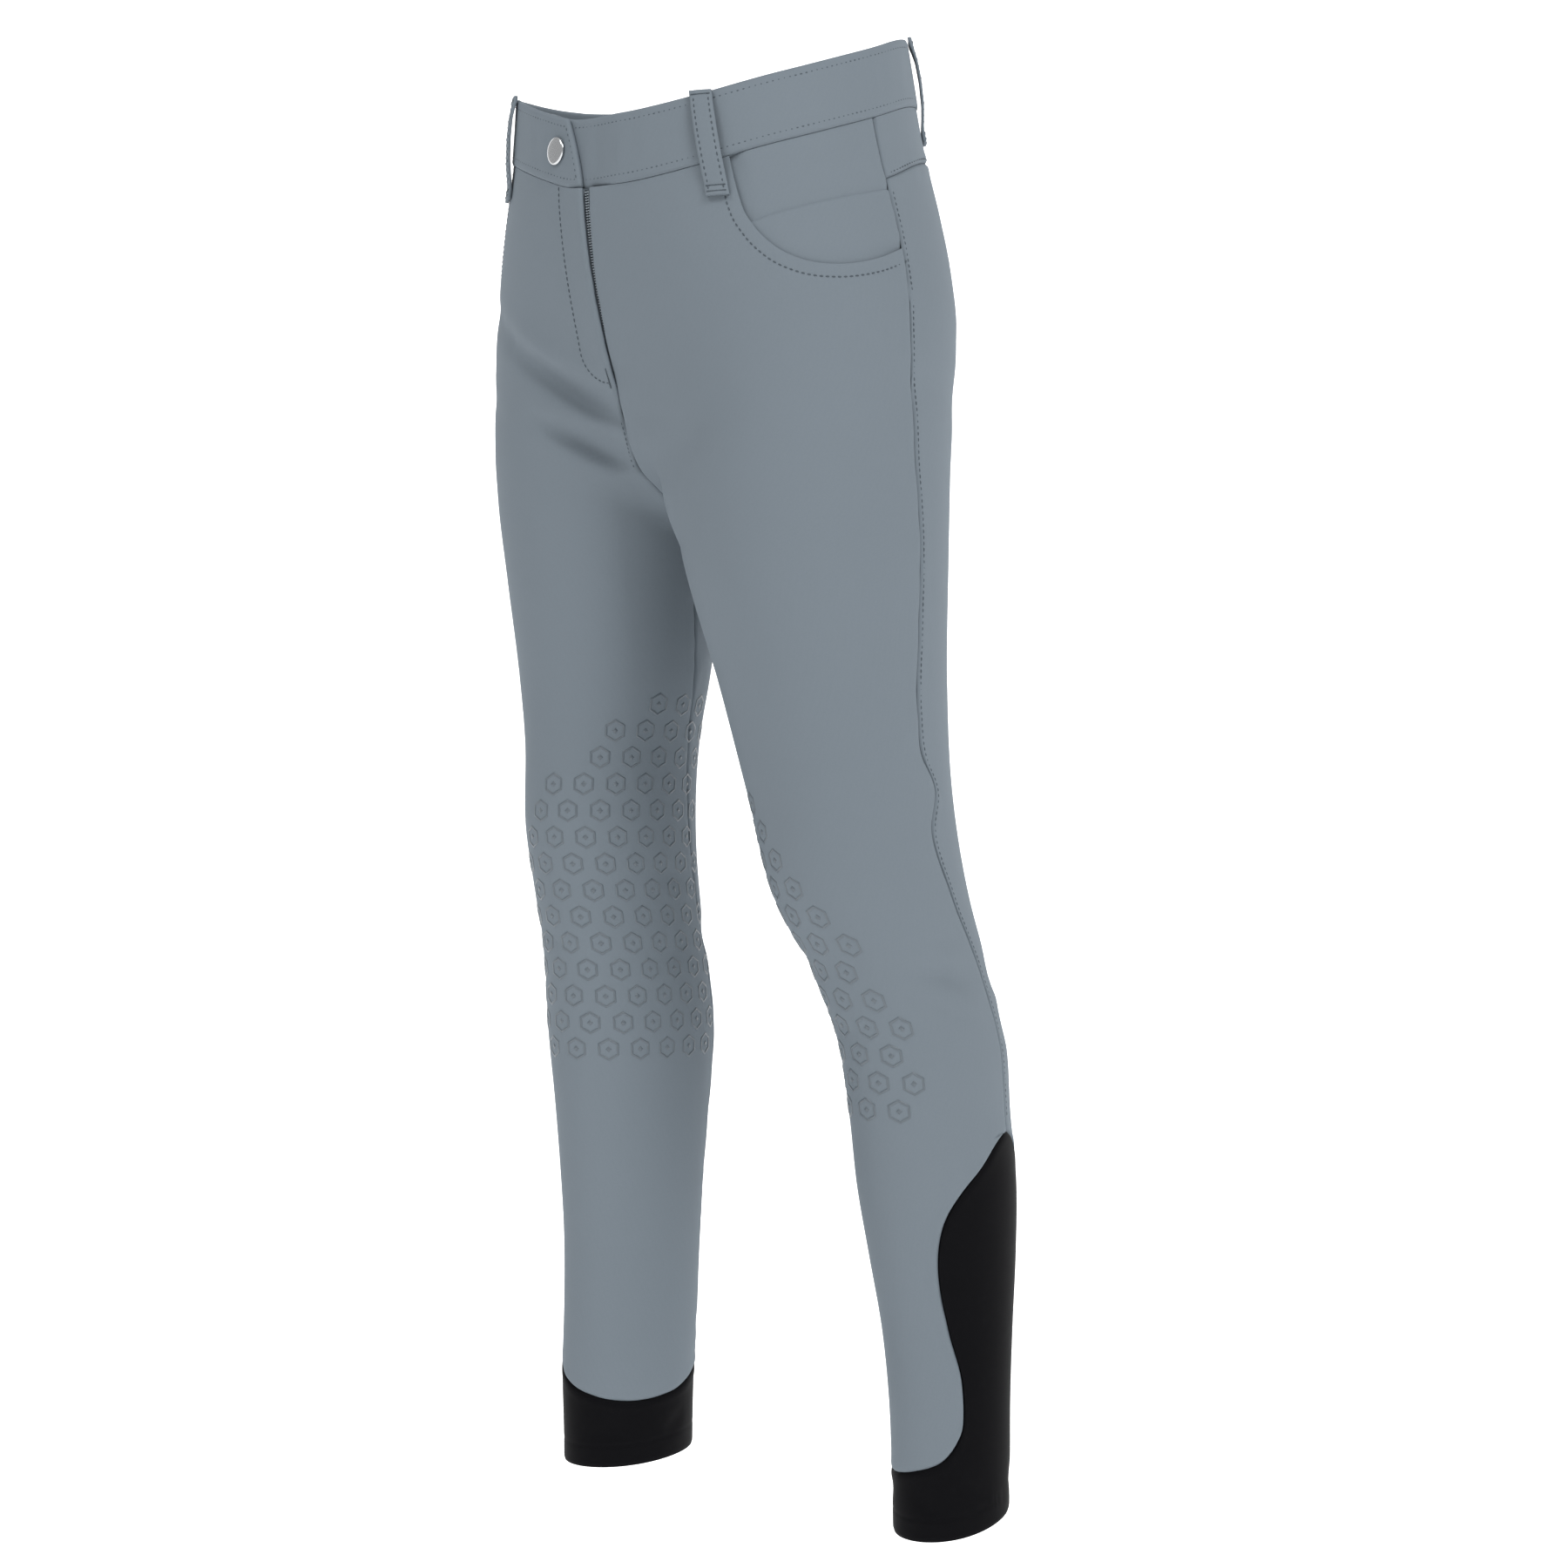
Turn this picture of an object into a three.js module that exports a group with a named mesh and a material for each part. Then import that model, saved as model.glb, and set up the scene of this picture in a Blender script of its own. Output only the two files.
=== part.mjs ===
// Riding breeches in stretch cloth, in the shape they take on the wearer and with no wearer inside.
// The wearer faces -Y, the wearer's left is +X and up is +Z. Lengths are in millimetres.
// The origin is the middle of the waist opening at the side seams' height.
// Each piece is a thin wall bent round one form: a torso section joined smoothly to two leg sections.
// A place on a leg is told by its angle (0 front, 90 outer side, 180 back, -90 or 270 inner side) and height.
// A place on the torso is told by its bearing from the front (positive to the wearer's left) and height.

import * as THREE from "three";

// Cloth and seam sizes
const CLOTH_WALL = 1.3;
const SEAM_GAP = 0.3;
const BAND_WALL = 2.8;
const BAND_PROUD = 1.2;
const BAND_HEIGHT = 42;
const LAYER_STEP = 1.8;

// Closure sizes
const LAP_STEP = 3.3;
const TAB_END_BEARING = -0.5;
const TAB_LEAN = 6.5;
const UNDERLAP_BEARING = -19;
const FLY_BOTTOM = -196;
const FLY_GAP_TOP = 5;
const FLY_PROUD = 1.1;
const FLY_FACING_WIDTH = 34;
const FLY_SHIELD_WIDTH = 48;
const ZIP_TAPE_WIDTH = 22;
const SNAP_DIAMETER = 17;
const SNAP_BEARING = -12.5;
const SNAP_DROP = 21.5;
const FLY_LAYERS = {
  facing: { down: 1.9, thick: 1.1 },
  tape: { down: 3.5, thick: 0.9 },
  shield: { down: 4.9, thick: 1.1 },
};

// Belt loop sizes
const LOOP_WIDTH = 13;
const LOOP_BEARINGS = { front: 43.5, side: 118, back: 180 };
const LOOP_LEAN = 3;

// How far the two thighs and the torso run into each other where they meet
const THIGH_BLEND = 34;
const TORSO_BLEND = 46;

// Torso sections: half width, depth to the front and to the back, and how square the oval is
const TORSO = [
  { z: 40, half: 130, front: 111, back: 76, power: 2.1 },
  { z: 0, half: 131, front: 112, back: 90, power: 2.1 },
  { z: -45, half: 135, front: 111, back: 105, power: 2.15 },
  { z: -90, half: 147, front: 110, back: 116, power: 2.2 },
  { z: -130, half: 158, front: 104, back: 118, power: 2.2 },
  { z: -165, half: 162, front: 95, back: 114, power: 2.2 },
  { z: -195, half: 150, front: 85, back: 105, power: 2.2 },
  { z: -220, half: 112, front: 76, back: 86, power: 2.2 },
  { z: -238, half: 70, front: 68, back: 62, power: 2.2 },
  { z: -250, half: 44, front: 58, back: 34, power: 2.2 },
  { z: -262, half: 28, front: 38, back: 16, power: 2.2 },
  { z: -274, half: 18, front: 14, back: 12, power: 2.2 },
  { z: -286, half: 14, front: -6, back: -6, power: 2.2 },
  { z: -296, half: 14, front: -16, back: -16, power: 2.2 },
];

// Left leg sections: centre out from the middle, centre back from the front, half width and half depth
const LEG_LEFT = [
  { z: 40, out: 58, back: 0, half: 56, deep: 78 },
  { z: -60, out: 68, back: 0, half: 66, deep: 80 },
  { z: -120, out: 76, back: 2, half: 74, deep: 79 },
  { z: -170, out: 82, back: 2, half: 80, deep: 81 },
  { z: -215, out: 87, back: 0, half: 85, deep: 86 },
  { z: -255, out: 89, back: -2, half: 84, deep: 85 },
  { z: -310, out: 93, back: -2, half: 80, deep: 81 },
  { z: -382, out: 98, back: 7, half: 69, deep: 71 },
  { z: -450, out: 102, back: 18, half: 61, deep: 65 },
  { z: -515, out: 106, back: 34, half: 55, deep: 65 },
  { z: -560, out: 110, back: 55, half: 50, deep: 60 },
  { z: -604, out: 113, back: 71, half: 47, deep: 58 },
  { z: -649, out: 116, back: 75, half: 45, deep: 56 },
  { z: -693, out: 119, back: 78, half: 45, deep: 55 },
  { z: -737, out: 122, back: 80, half: 42, deep: 50 },
  { z: -782, out: 125, back: 81, half: 38, deep: 44 },
  { z: -826, out: 128, back: 80, half: 35, deep: 41 },
  { z: -871, out: 129, back: 80, half: 34, deep: 40 },
  { z: -915, out: 129, back: 80, half: 33, deep: 39 },
];

// Right leg sections, in the same columns
const LEG_RIGHT = [
  { z: 40, out: 58, back: 0, half: 56, deep: 78 },
  { z: -60, out: 68, back: 0, half: 66, deep: 80 },
  { z: -120, out: 76, back: -3, half: 74, deep: 78 },
  { z: -170, out: 82, back: -6, half: 80, deep: 78 },
  { z: -215, out: 86, back: -8, half: 83, deep: 80 },
  { z: -255, out: 88, back: -8, half: 82, deep: 76 },
  { z: -310, out: 89, back: -9, half: 73, deep: 69 },
  { z: -371, out: 88, back: -10, half: 64, deep: 62 },
  { z: -415, out: 88, back: -12, half: 55, deep: 59 },
  { z: -471, out: 87, back: -14, half: 51, deep: 59 },
  { z: -515, out: 86, back: -9, half: 48, deep: 58 },
  { z: -560, out: 85, back: -2, half: 48, deep: 58 },
  { z: -604, out: 84, back: 1, half: 48, deep: 59 },
  { z: -649, out: 83, back: 1, half: 45, deep: 55 },
  { z: -693, out: 82, back: 0, half: 42, deep: 51 },
  { z: -737, out: 81, back: -1, half: 40, deep: 48 },
  { z: -782, out: 80, back: -3, half: 39, deep: 47 },
  { z: -826, out: 79, back: -6, half: 39, deep: 46 },
  { z: -871, out: 79, back: -6, half: 38, deep: 45 },
  { z: -915, out: 79, back: -6, half: 38, deep: 45 },
];

// The waistband's top edge: low in front, higher behind, and a little higher on the wearer's right
const WAIST_EDGE = [
  { bearing: -180, top: 27 },
  { bearing: -168, top: 27 },
  { bearing: -140, top: 23 },
  { bearing: -90, top: 9 },
  { bearing: -60, top: 1 },
  { bearing: -44, top: -7 },
  { bearing: -33, top: -16 },
  { bearing: -20, top: -26.5 },
  { bearing: -6, top: -36 },
  { bearing: 8, top: -39 },
  { bearing: 24, top: -40 },
  { bearing: 42, top: -36 },
  { bearing: 64, top: -22.5 },
  { bearing: 88, top: -2.5 },
  { bearing: 104, top: 12 },
  { bearing: 140, top: 24 },
  { bearing: 168, top: 27 },
  { bearing: 180, top: 27 },
];

// The yoke seam behind, by its drop below the waistband
const YOKE_SEAM = [
  { bearing: 80, drop: 40 },
  { bearing: 92, drop: 38 },
  { bearing: 112, drop: 35 },
  { bearing: 132, drop: 34 },
  { bearing: 156, drop: 41 },
  { bearing: 180, drop: 50 },
];

// The scoop of the front pocket, by its drop below the waistband
const POCKET_SCOOP = [
  { bearing: 50.5, drop: 0.3 },
  { bearing: 51.6, drop: 14 },
  { bearing: 53.4, drop: 32 },
  { bearing: 56, drop: 46 },
  { bearing: 60, drop: 60.5 },
  { bearing: 66, drop: 74 },
  { bearing: 73, drop: 82 },
  { bearing: 81, drop: 84.5 },
  { bearing: 89, drop: 82 },
];

// The pieces inside the scoop: the bearing they start from under the front, and how far down they reach
const POCKET_PIECES = {
  facing: { from: 46, drop: 95 },
  coin: { from: 49, drop: 89 },
};

// How quickly the scoop turns from the waistband, and the share of the front's top edge that lies on the waistband
const SCOOP_TURN = 1.9;
const TOP_ON_BAND = 0.46;

// The mouth of the small pocket inside the scoop
const COIN_MOUTH = [
  { bearing: 48, drop: 45 },
  { bearing: 56, drop: 42.5 },
  { bearing: 72, drop: 41.5 },
  { bearing: 92, drop: 45 },
];

// The outer side seam, by leg
const OUTSEAM_LEFT = [
  { z: 20, angle: 88 },
  { z: -45, angle: 89 },
  { z: -125, angle: 90 },
  { z: -250, angle: 91 },
  { z: -330, angle: 94 },
  { z: -450, angle: 102 },
  { z: -520, angle: 110 },
  { z: -560, angle: 113 },
  { z: -604, angle: 120 },
  { z: -670, angle: 123 },
  { z: -915, angle: 123 },
];
const OUTSEAM_RIGHT = [
  { z: 20, angle: 88 },
  { z: -45, angle: 89 },
  { z: -125, angle: 90 },
  { z: -250, angle: 91 },
  { z: -330, angle: 93 },
  { z: -450, angle: 97 },
  { z: -560, angle: 104 },
  { z: -670, angle: 110 },
  { z: -915, angle: 112 },
];

// The inner leg seam: at the crotch on the inner side, then round to the inner back of the calf
const INSEAM = [
  { z: -270, angle: -90 },
  { z: -330, angle: -97 },
  { z: -450, angle: -119 },
  { z: -560, angle: -137 },
  { z: -700, angle: -148 },
  { z: -915, angle: -150 },
];

// The black ankle panel's upper edge, once round from the inseam, with the hem angle each place grows from
const ANKLE_EDGE_LEFT = [
  { round: 0.0, hem: -150, angle: -150, z: -824 },
  { round: 0.08, hem: -108, angle: -112, z: -848 },
  { round: 0.16, hem: -62, angle: -72, z: -863 },
  { round: 0.24, hem: -18, angle: -30, z: -868 },
  { round: 0.31, hem: 26, angle: 8, z: -864 },
  { round: 0.37, hem: 62, angle: 38, z: -855 },
  { round: 0.42, hem: 86, angle: 54, z: -838 },
  { round: 0.48, hem: 98, angle: 55, z: -808 },
  { round: 0.54, hem: 107, angle: 44, z: -776 },
  { round: 0.6, hem: 114, angle: 39, z: -740 },
  { round: 0.66, hem: 122, angle: 48, z: -708 },
  { round: 0.73, hem: 136, angle: 80, z: -680 },
  { round: 0.8, hem: 152, angle: 122, z: -659 },
  { round: 0.87, hem: 170, angle: 150, z: -684 },
  { round: 0.94, hem: 190, angle: 180, z: -748 },
  { round: 1.0, hem: 210, angle: 210, z: -824 },
];
const ANKLE_EDGE_RIGHT = [
  { round: 0.0, hem: -150, angle: -150, z: -824 },
  { round: 0.08, hem: -108, angle: -112, z: -834 },
  { round: 0.16, hem: -62, angle: -70, z: -839 },
  { round: 0.24, hem: -18, angle: -30, z: -838 },
  { round: 0.31, hem: 26, angle: 8, z: -830 },
  { round: 0.37, hem: 60, angle: 33, z: -818 },
  { round: 0.42, hem: 82, angle: 45, z: -800 },
  { round: 0.48, hem: 96, angle: 50, z: -774 },
  { round: 0.54, hem: 104, angle: 48, z: -748 },
  { round: 0.6, hem: 110, angle: 47, z: -724 },
  { round: 0.66, hem: 118, angle: 56, z: -702 },
  { round: 0.73, hem: 130, angle: 80, z: -680 },
  { round: 0.8, hem: 142, angle: 110, z: -660 },
  { round: 0.87, hem: 164, angle: 142, z: -684 },
  { round: 0.94, hem: 188, angle: 176, z: -748 },
  { round: 1.0, hem: 210, angle: 210, z: -824 },
];
const TONGUE_END = 0.42;
const OUTSEAM_END = 0.8;
const CORNER_STEP = 0.001;

// Each hem: mean height, how far it tips and towards which angle it is lowest
const HEM = {
  left: { z: -900, tip: 7, lowest: 0 },
  right: { z: -880, tip: 3, lowest: 20 },
};

// The largest folds: a trough or ridge between two places, half as wide as stated on each side
const FOLDS = [
  { leg: "right", angle: 62, z: -188, toAngle: -34, toZ: -246, width: 15, depth: -3.6 },
  { leg: "right", angle: 34, z: -228, toAngle: -52, toZ: -262, width: 13, depth: -3.0 },
  { leg: "right", angle: 30, z: -208, toAngle: -44, toZ: -254, width: 9, depth: 1.8 },
  { leg: "left", angle: 20, z: -214, toAngle: -62, toZ: -262, width: 14, depth: -2.2 },
  { leg: "left", angle: 150, z: -318, toAngle: 228, toZ: -284, width: 13, depth: -3.0 },
  { leg: "right", angle: 150, z: -322, toAngle: 226, toZ: -286, width: 13, depth: -3.0 },
  { leg: "left", angle: 38, z: -556, toAngle: 112, toZ: -562, width: 10, depth: -2.2 },
  { leg: "left", angle: 128, z: -560, toAngle: 212, toZ: -566, width: 13, depth: -3.4 },
  { leg: "left", angle: 132, z: -592, toAngle: 208, toZ: -588, width: 12, depth: -2.6 },
  { leg: "right", angle: 20, z: -536, toAngle: 78, toZ: -552, width: 10, depth: -2.0 },
  { leg: "right", angle: -128, z: -540, toAngle: -176, toZ: -548, width: 12, depth: -2.6 },
  { leg: "right", angle: 140, z: -566, toAngle: 206, toZ: -572, width: 12, depth: -2.6 },
];

// Where each grid has its rows and columns
const GRID = {
  frontColumns: 18,
  backColumns: 14,
  ankleRows: 8,
  tongueRows: 9,
  legRows: 14,
  riseRows: 14,
  hipRows: 3,
  yokeColumns: 15,
  yokeRows: 4,
  pocketColumns: 10,
  bandColumns: 62,
  bandRows: 3,
  snapSides: 24,
};

// Where the inner and the outer long edge of the front stand level with each other
const LEVELS = { tongue: 0.24, crotch: 0.7 };

// Height of the calf at which the front's tongue ends, and how the centre seam's rows gather at the crotch
const CALF_LEVEL = -690;
const RISE_CURVE = 0.85;

// How quickly a panel's rows let go of its top and bottom edge
const EDGE_PULL = 1.6;

// How far a line from the middle of a section is followed, and how close a leg's lines come to the middle
const FARTHEST = 260;
const MIDDLE_GAP = 0.1;

// Half of the seam gap as degrees of bearing at the side seams, and how far the yokes stop short of the middle
const SIDE_INSET = 0.06;
const YOKE_MIDDLE_INSET = 0.07;
const BACK_MIDDLE_INSET = 0.1;

const toRadians = (degrees) => (degrees * Math.PI) / 180;
const toDegrees = (radians) => (radians * 180) / Math.PI;
const mix = (a, b, share) => a + (b - a) * share;
const clamp = (value, low, high) => Math.min(Math.max(value, low), high);

// Reads a table at a place between its rows along a smooth curve through every row
function look(table, key, value) {
  const falling = table[table.length - 1][key] < table[0][key];
  const sign = falling ? -1 : 1;
  const last = table.length - 1;
  const place = clamp(value * sign, table[0][key] * sign, table[last][key] * sign);
  let row = 0;
  while (row < last - 1 && table[row + 1][key] * sign < place) {
    row += 1;
  }
  const step = (index) => (table[index + 1][key] - table[index][key]) * sign;
  const slope = (index, column) => (table[index + 1][column] - table[index][column]) / step(index);
  const tangent = (index, column) => {
    if (index === 0) {
      return slope(0, column);
    }
    if (index === last) {
      return slope(last - 1, column);
    }
    const before = step(index - 1);
    const after = step(index);
    return (slope(index - 1, column) * after + slope(index, column) * before) / (before + after);
  };
  const width = step(row);
  const u = (place - table[row][key] * sign) / width;
  const result = {};
  for (const column of Object.keys(table[0])) {
    if (typeof table[0][column] !== "number") {
      continue;
    }
    const start = table[row][column];
    const end = table[row + 1][column];
    const rise = (3 - 2 * u) * u * u;
    const leave = u * (1 - u) * (1 - u) * width * tangent(row, column);
    const arrive = u * u * (1 - u) * width * tangent(row + 1, column);
    result[column] = start + (end - start) * rise + leave - arrive;
  }
  return result;
}

// The signed distance of a place from an oval section, in millimetres and negative inside
function ovalDistance(dx, dy, half, deep, power) {
  const ratio = (Math.abs(dx / half) ** power + Math.abs(dy / deep) ** power) ** (1 / power);
  return (ratio - 1) * Math.min(half, deep);
}

// The smaller of two distances, rounded where they meet
function smoothMinimum(a, b, width) {
  const near = Math.max(width - Math.abs(a - b), 0) / width;
  return Math.min(a, b) - (near * near * near * width) / 6;
}

function sectionsAt(z) {
  return { torso: look(TORSO, "z", z), left: look(LEG_LEFT, "z", z), right: look(LEG_RIGHT, "z", z) };
}

// The signed distance from one leg's section, given how far out from the leg's middle a place is
function legDistance(section, dx, y) {
  return ovalDistance(dx, y - section.back, section.half, section.deep, 2);
}

// The form's signed distance at a place, given the three sections at its height
function formDistance(sections, x, y) {
  const torso = sections.torso;
  const depth = y < 0 ? torso.front : torso.back;
  const least = 4;
  const shallow = Math.max(least - depth, 0) * 2;
  const round = ovalDistance(x, y, Math.max(torso.half, least), Math.max(depth, least), torso.power);
  const left = legDistance(sections.left, x - sections.left.out, y);
  const right = legDistance(sections.right, x + sections.right.out, y);
  return smoothMinimum(smoothMinimum(left, right, THIGH_BLEND), round + shallow, TORSO_BLEND);
}

// The distance at which a straight line from inside the form leaves it, looked for as far as a limit
function reach(distanceAt, limit) {
  let inside = 0;
  let outside = limit;
  for (let turn = 0; turn < 34; turn += 1) {
    const middle = (inside + outside) / 2;
    if (distanceAt(middle) < 0) {
      inside = middle;
    } else {
      outside = middle;
    }
  }
  return (inside + outside) / 2;
}

// The folds' height over the smooth form at a place on a leg
function foldHeight(leg, angle, z) {
  const roundness = 1.4;
  let height = 0;
  for (const fold of FOLDS) {
    if (fold.leg !== leg) {
      continue;
    }
    for (const turn of [-360, 0, 360]) {
      const alongX = (fold.toAngle - fold.angle) * roundness;
      const alongZ = fold.toZ - fold.z;
      const dx = (angle + turn - fold.angle) * roundness;
      const dz = z - fold.z;
      const share = clamp((dx * alongX + dz * alongZ) / (alongX * alongX + alongZ * alongZ), 0, 1);
      const off = Math.hypot(dx - share * alongX, dz - share * alongZ);
      const fade = Math.sin(Math.PI * clamp(share, 0.04, 0.96));
      height += fold.depth * fade * Math.exp(-((off / fold.width) ** 2));
    }
  }
  return height;
}

const SIGN = { left: 1, right: -1 };
const LEG = { left: LEG_LEFT, right: LEG_RIGHT };
const OUTSEAM = { left: OUTSEAM_LEFT, right: OUTSEAM_RIGHT };
const ANKLE_EDGE = { left: ANKLE_EDGE_LEFT, right: ANKLE_EDGE_RIGHT };

// A place on a leg's form, told by its angle and height
function legPoint(leg, angle, z) {
  const sections = sectionsAt(z);
  const centreX = SIGN[leg] * sections[leg].out;
  const centreY = sections[leg].back;
  const ux = SIGN[leg] * Math.sin(toRadians(angle));
  const uy = -Math.cos(toRadians(angle));
  const toMiddle = SIGN[leg] * ux < 0 ? (Math.abs(centreX) - MIDDLE_GAP) / Math.abs(ux) : FARTHEST;
  const distanceAt = (length) => formDistance(sections, centreX + length * ux, centreY + length * uy);
  const bare = reach(distanceAt, Math.min(FARTHEST, toMiddle));
  const radius = bare + foldHeight(leg, angle, z);
  return new THREE.Vector3(centreX + radius * ux, centreY + radius * uy, z);
}

// The angle on a leg at which a place in space stands
function legAngle(leg, point, inner) {
  const row = look(LEG[leg], "z", point.z);
  const dx = SIGN[leg] * point.x - row.out;
  const dy = point.y - row.back;
  const angle = toDegrees(Math.atan2(dx, -dy));
  return inner === "back" && angle < 0 ? angle + 360 : angle;
}

// A place on the torso's form, told by its bearing and height
function torsoPoint(bearing, z) {
  const sections = sectionsAt(z);
  const ux = Math.sin(toRadians(bearing));
  const uy = -Math.cos(toRadians(bearing));
  const radius = reach((length) => formDistance(sections, length * ux, length * uy), FARTHEST);
  return new THREE.Vector3(radius * ux, radius * uy, z);
}

// Moves a place out of the form by a height over it, square to the form there
function raised(point, height) {
  const step = 0.5;
  const away = new THREE.Vector3(
    slopeAlong(point, step, 0, 0),
    slopeAlong(point, 0, step, 0),
    slopeAlong(point, 0, 0, step),
  );
  return point.clone().addScaledVector(away.normalize(), height);
}

function slopeAlong(point, dx, dy, dz) {
  const ahead = formDistance(sectionsAt(point.z + dz), point.x + dx, point.y + dy);
  const behind = formDistance(sectionsAt(point.z - dz), point.x - dx, point.y - dy);
  return ahead - behind;
}

function onLeg(leg, angle, z, height) {
  return raised(legPoint(leg, angle, z), height);
}

function onTorso(bearing, z, height) {
  return raised(torsoPoint(bearing, z), height);
}

function waistTop(bearing) {
  const turned = ((((bearing + 180) % 360) + 360) % 360) - 180;
  return look(WAIST_EDGE, "bearing", turned).top;
}

function waistBottom(bearing) {
  return waistTop(bearing) - BAND_HEIGHT;
}

// The centre seam from the waist round to the crotch: a place on the plane a little off the middle
function centrePoint(offset, tilt) {
  const pivotZ = -100;
  const uy = -Math.cos(toRadians(tilt));
  const uz = Math.sin(toRadians(tilt));
  const length = reach((r) => formDistance(sectionsAt(pivotZ + r * uz), offset, r * uy), FARTHEST);
  return new THREE.Vector3(offset, length * uy, pivotZ + length * uz);
}

// The tilt at which the centre seam stands at a given height, in front or behind
function tiltAtHeight(z, back) {
  let low = -90;
  let high = 60;
  for (let turn = 0; turn < 24; turn += 1) {
    const middle = (low + high) / 2;
    const point = centrePoint(0, back ? 180 - middle : middle);
    if (point.z < z) {
      low = middle;
    } else {
      high = middle;
    }
  }
  const tilt = (low + high) / 2;
  return back ? 180 - tilt : tilt;
}

// The flat place (angle and height) on a leg where a torso place lies
function flatOf(leg, bearing, z, inner) {
  const point = torsoPoint(SIGN[leg] * bearing, z);
  return { angle: legAngle(leg, point, inner), z };
}

function bearingOf(leg, angle, z) {
  const point = legPoint(leg, angle, z);
  return toDegrees(Math.atan2(SIGN[leg] * point.x, -point.y));
}

// A millimetre along the cloth as degrees of angle on a leg at a height
function degreesPerMillimetre(leg, z) {
  const row = look(LEG[leg], "z", z);
  return toDegrees(2 / (row.half + row.deep));
}

// A closed wall between an outer and an inner grid of points; each grid is a list of rows
function wall(outer, inner, ring) {
  const rows = outer.length;
  const columns = outer[0].length;
  const positions = [];
  for (const grid of [outer, inner]) {
    for (const line of grid) {
      for (const point of line) {
        positions.push(point.x, point.y, point.z);
      }
    }
  }
  const index = [];
  const at = (layer, row, column) => layer * rows * columns + row * columns + (column % columns);
  const quad = (a, b, c, d) => index.push(a, b, c, a, c, d);
  const cells = ring ? columns : columns - 1;
  for (let row = 0; row < rows - 1; row += 1) {
    for (let column = 0; column < cells; column += 1) {
      quad(at(0, row, column), at(0, row, column + 1), at(0, row + 1, column + 1), at(0, row + 1, column));
      quad(at(1, row, column), at(1, row + 1, column), at(1, row + 1, column + 1), at(1, row, column + 1));
    }
  }
  for (let column = 0; column < cells; column += 1) {
    const top = rows - 1;
    quad(at(0, 0, column), at(1, 0, column), at(1, 0, column + 1), at(0, 0, column + 1));
    quad(at(0, top, column), at(0, top, column + 1), at(1, top, column + 1), at(1, top, column));
  }
  if (!ring) {
    for (let row = 0; row < rows - 1; row += 1) {
      const end = columns - 1;
      quad(at(0, row, 0), at(0, row + 1, 0), at(1, row + 1, 0), at(1, row, 0));
      quad(at(0, row, end), at(1, row, end), at(1, row + 1, end), at(0, row + 1, end));
    }
  }
  return solidFrom(positions, index);
}

// Turns the faces outward if they face in
function solidFrom(positions, index) {
  let volume = 0;
  const a = new THREE.Vector3();
  const b = new THREE.Vector3();
  const c = new THREE.Vector3();
  for (let i = 0; i < index.length; i += 3) {
    a.fromArray(positions, index[i] * 3);
    b.fromArray(positions, index[i + 1] * 3);
    c.fromArray(positions, index[i + 2] * 3);
    volume += a.dot(b.cross(c));
  }
  if (volume < 0) {
    for (let i = 0; i < index.length; i += 3) {
      [index[i + 1], index[i + 2]] = [index[i + 2], index[i + 1]];
    }
  }
  const geometry = new THREE.BufferGeometry();
  geometry.setAttribute("position", new THREE.Float32BufferAttribute(positions, 3));
  geometry.setIndex(index);
  geometry.computeVertexNormals();
  return geometry;
}

// A flat patch held between four edges; each edge gives a flat place for a share along it
function patch(edges, columns, rows, topReach, bottomReach) {
  const flat = [];
  for (const v of rows) {
    const line = [];
    const left = edges.inner(v);
    const right = edges.outer(v);
    const topPull = clamp(1 - (1 - v) / topReach, 0, 1) ** EDGE_PULL;
    const bottomPull = clamp(1 - v / bottomReach, 0, 1) ** EDGE_PULL;
    for (const u of columns) {
      const place = { angle: mix(left.angle, right.angle, u), z: mix(left.z, right.z, u) };
      for (const [edge, end, pull] of [[edges.top, 1, topPull], [edges.bottom, 0, bottomPull]]) {
        const start = edges.inner(end);
        const finish = edges.outer(end);
        const on = edge(u);
        place.angle += pull * (on.angle - mix(start.angle, finish.angle, u));
        place.z += pull * (on.z - mix(start.z, finish.z, u));
      }
      line.push(place);
    }
    flat.push(line);
  }
  return flat;
}

function evenly(count) {
  return Array.from({ length: count + 1 }, (_, index) => index / count);
}

// Rows in three runs, so that a panel has more of them where its edges bend
function rowsInRuns(runs) {
  const rows = [0];
  for (const run of runs) {
    const start = rows[rows.length - 1];
    for (let step = 1; step <= run.count; step += 1) {
      rows.push(mix(start, run.to, step / run.count));
    }
  }
  return rows;
}

// The ankle panel's edge at a share of its way round, moved up or down off the seam
function ankleEdge(leg, round, side) {
  const here = look(ANKLE_EDGE[leg], "round", round);
  const before = look(ANKLE_EDGE[leg], "round", Math.max(round - 0.005, 0));
  const after = look(ANKLE_EDGE[leg], "round", Math.min(round + 0.005, 1));
  const perMillimetre = degreesPerMillimetre(leg, here.z);
  const alongAcross = (after.angle - before.angle) / perMillimetre;
  const alongUp = after.z - before.z;
  const length = Math.hypot(alongAcross, alongUp);
  const off = (side * SEAM_GAP) / 2;
  return {
    hem: here.hem,
    angle: here.angle - (alongUp / length) * off * perMillimetre,
    z: here.z + (alongAcross / length) * off,
  };
}

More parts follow.
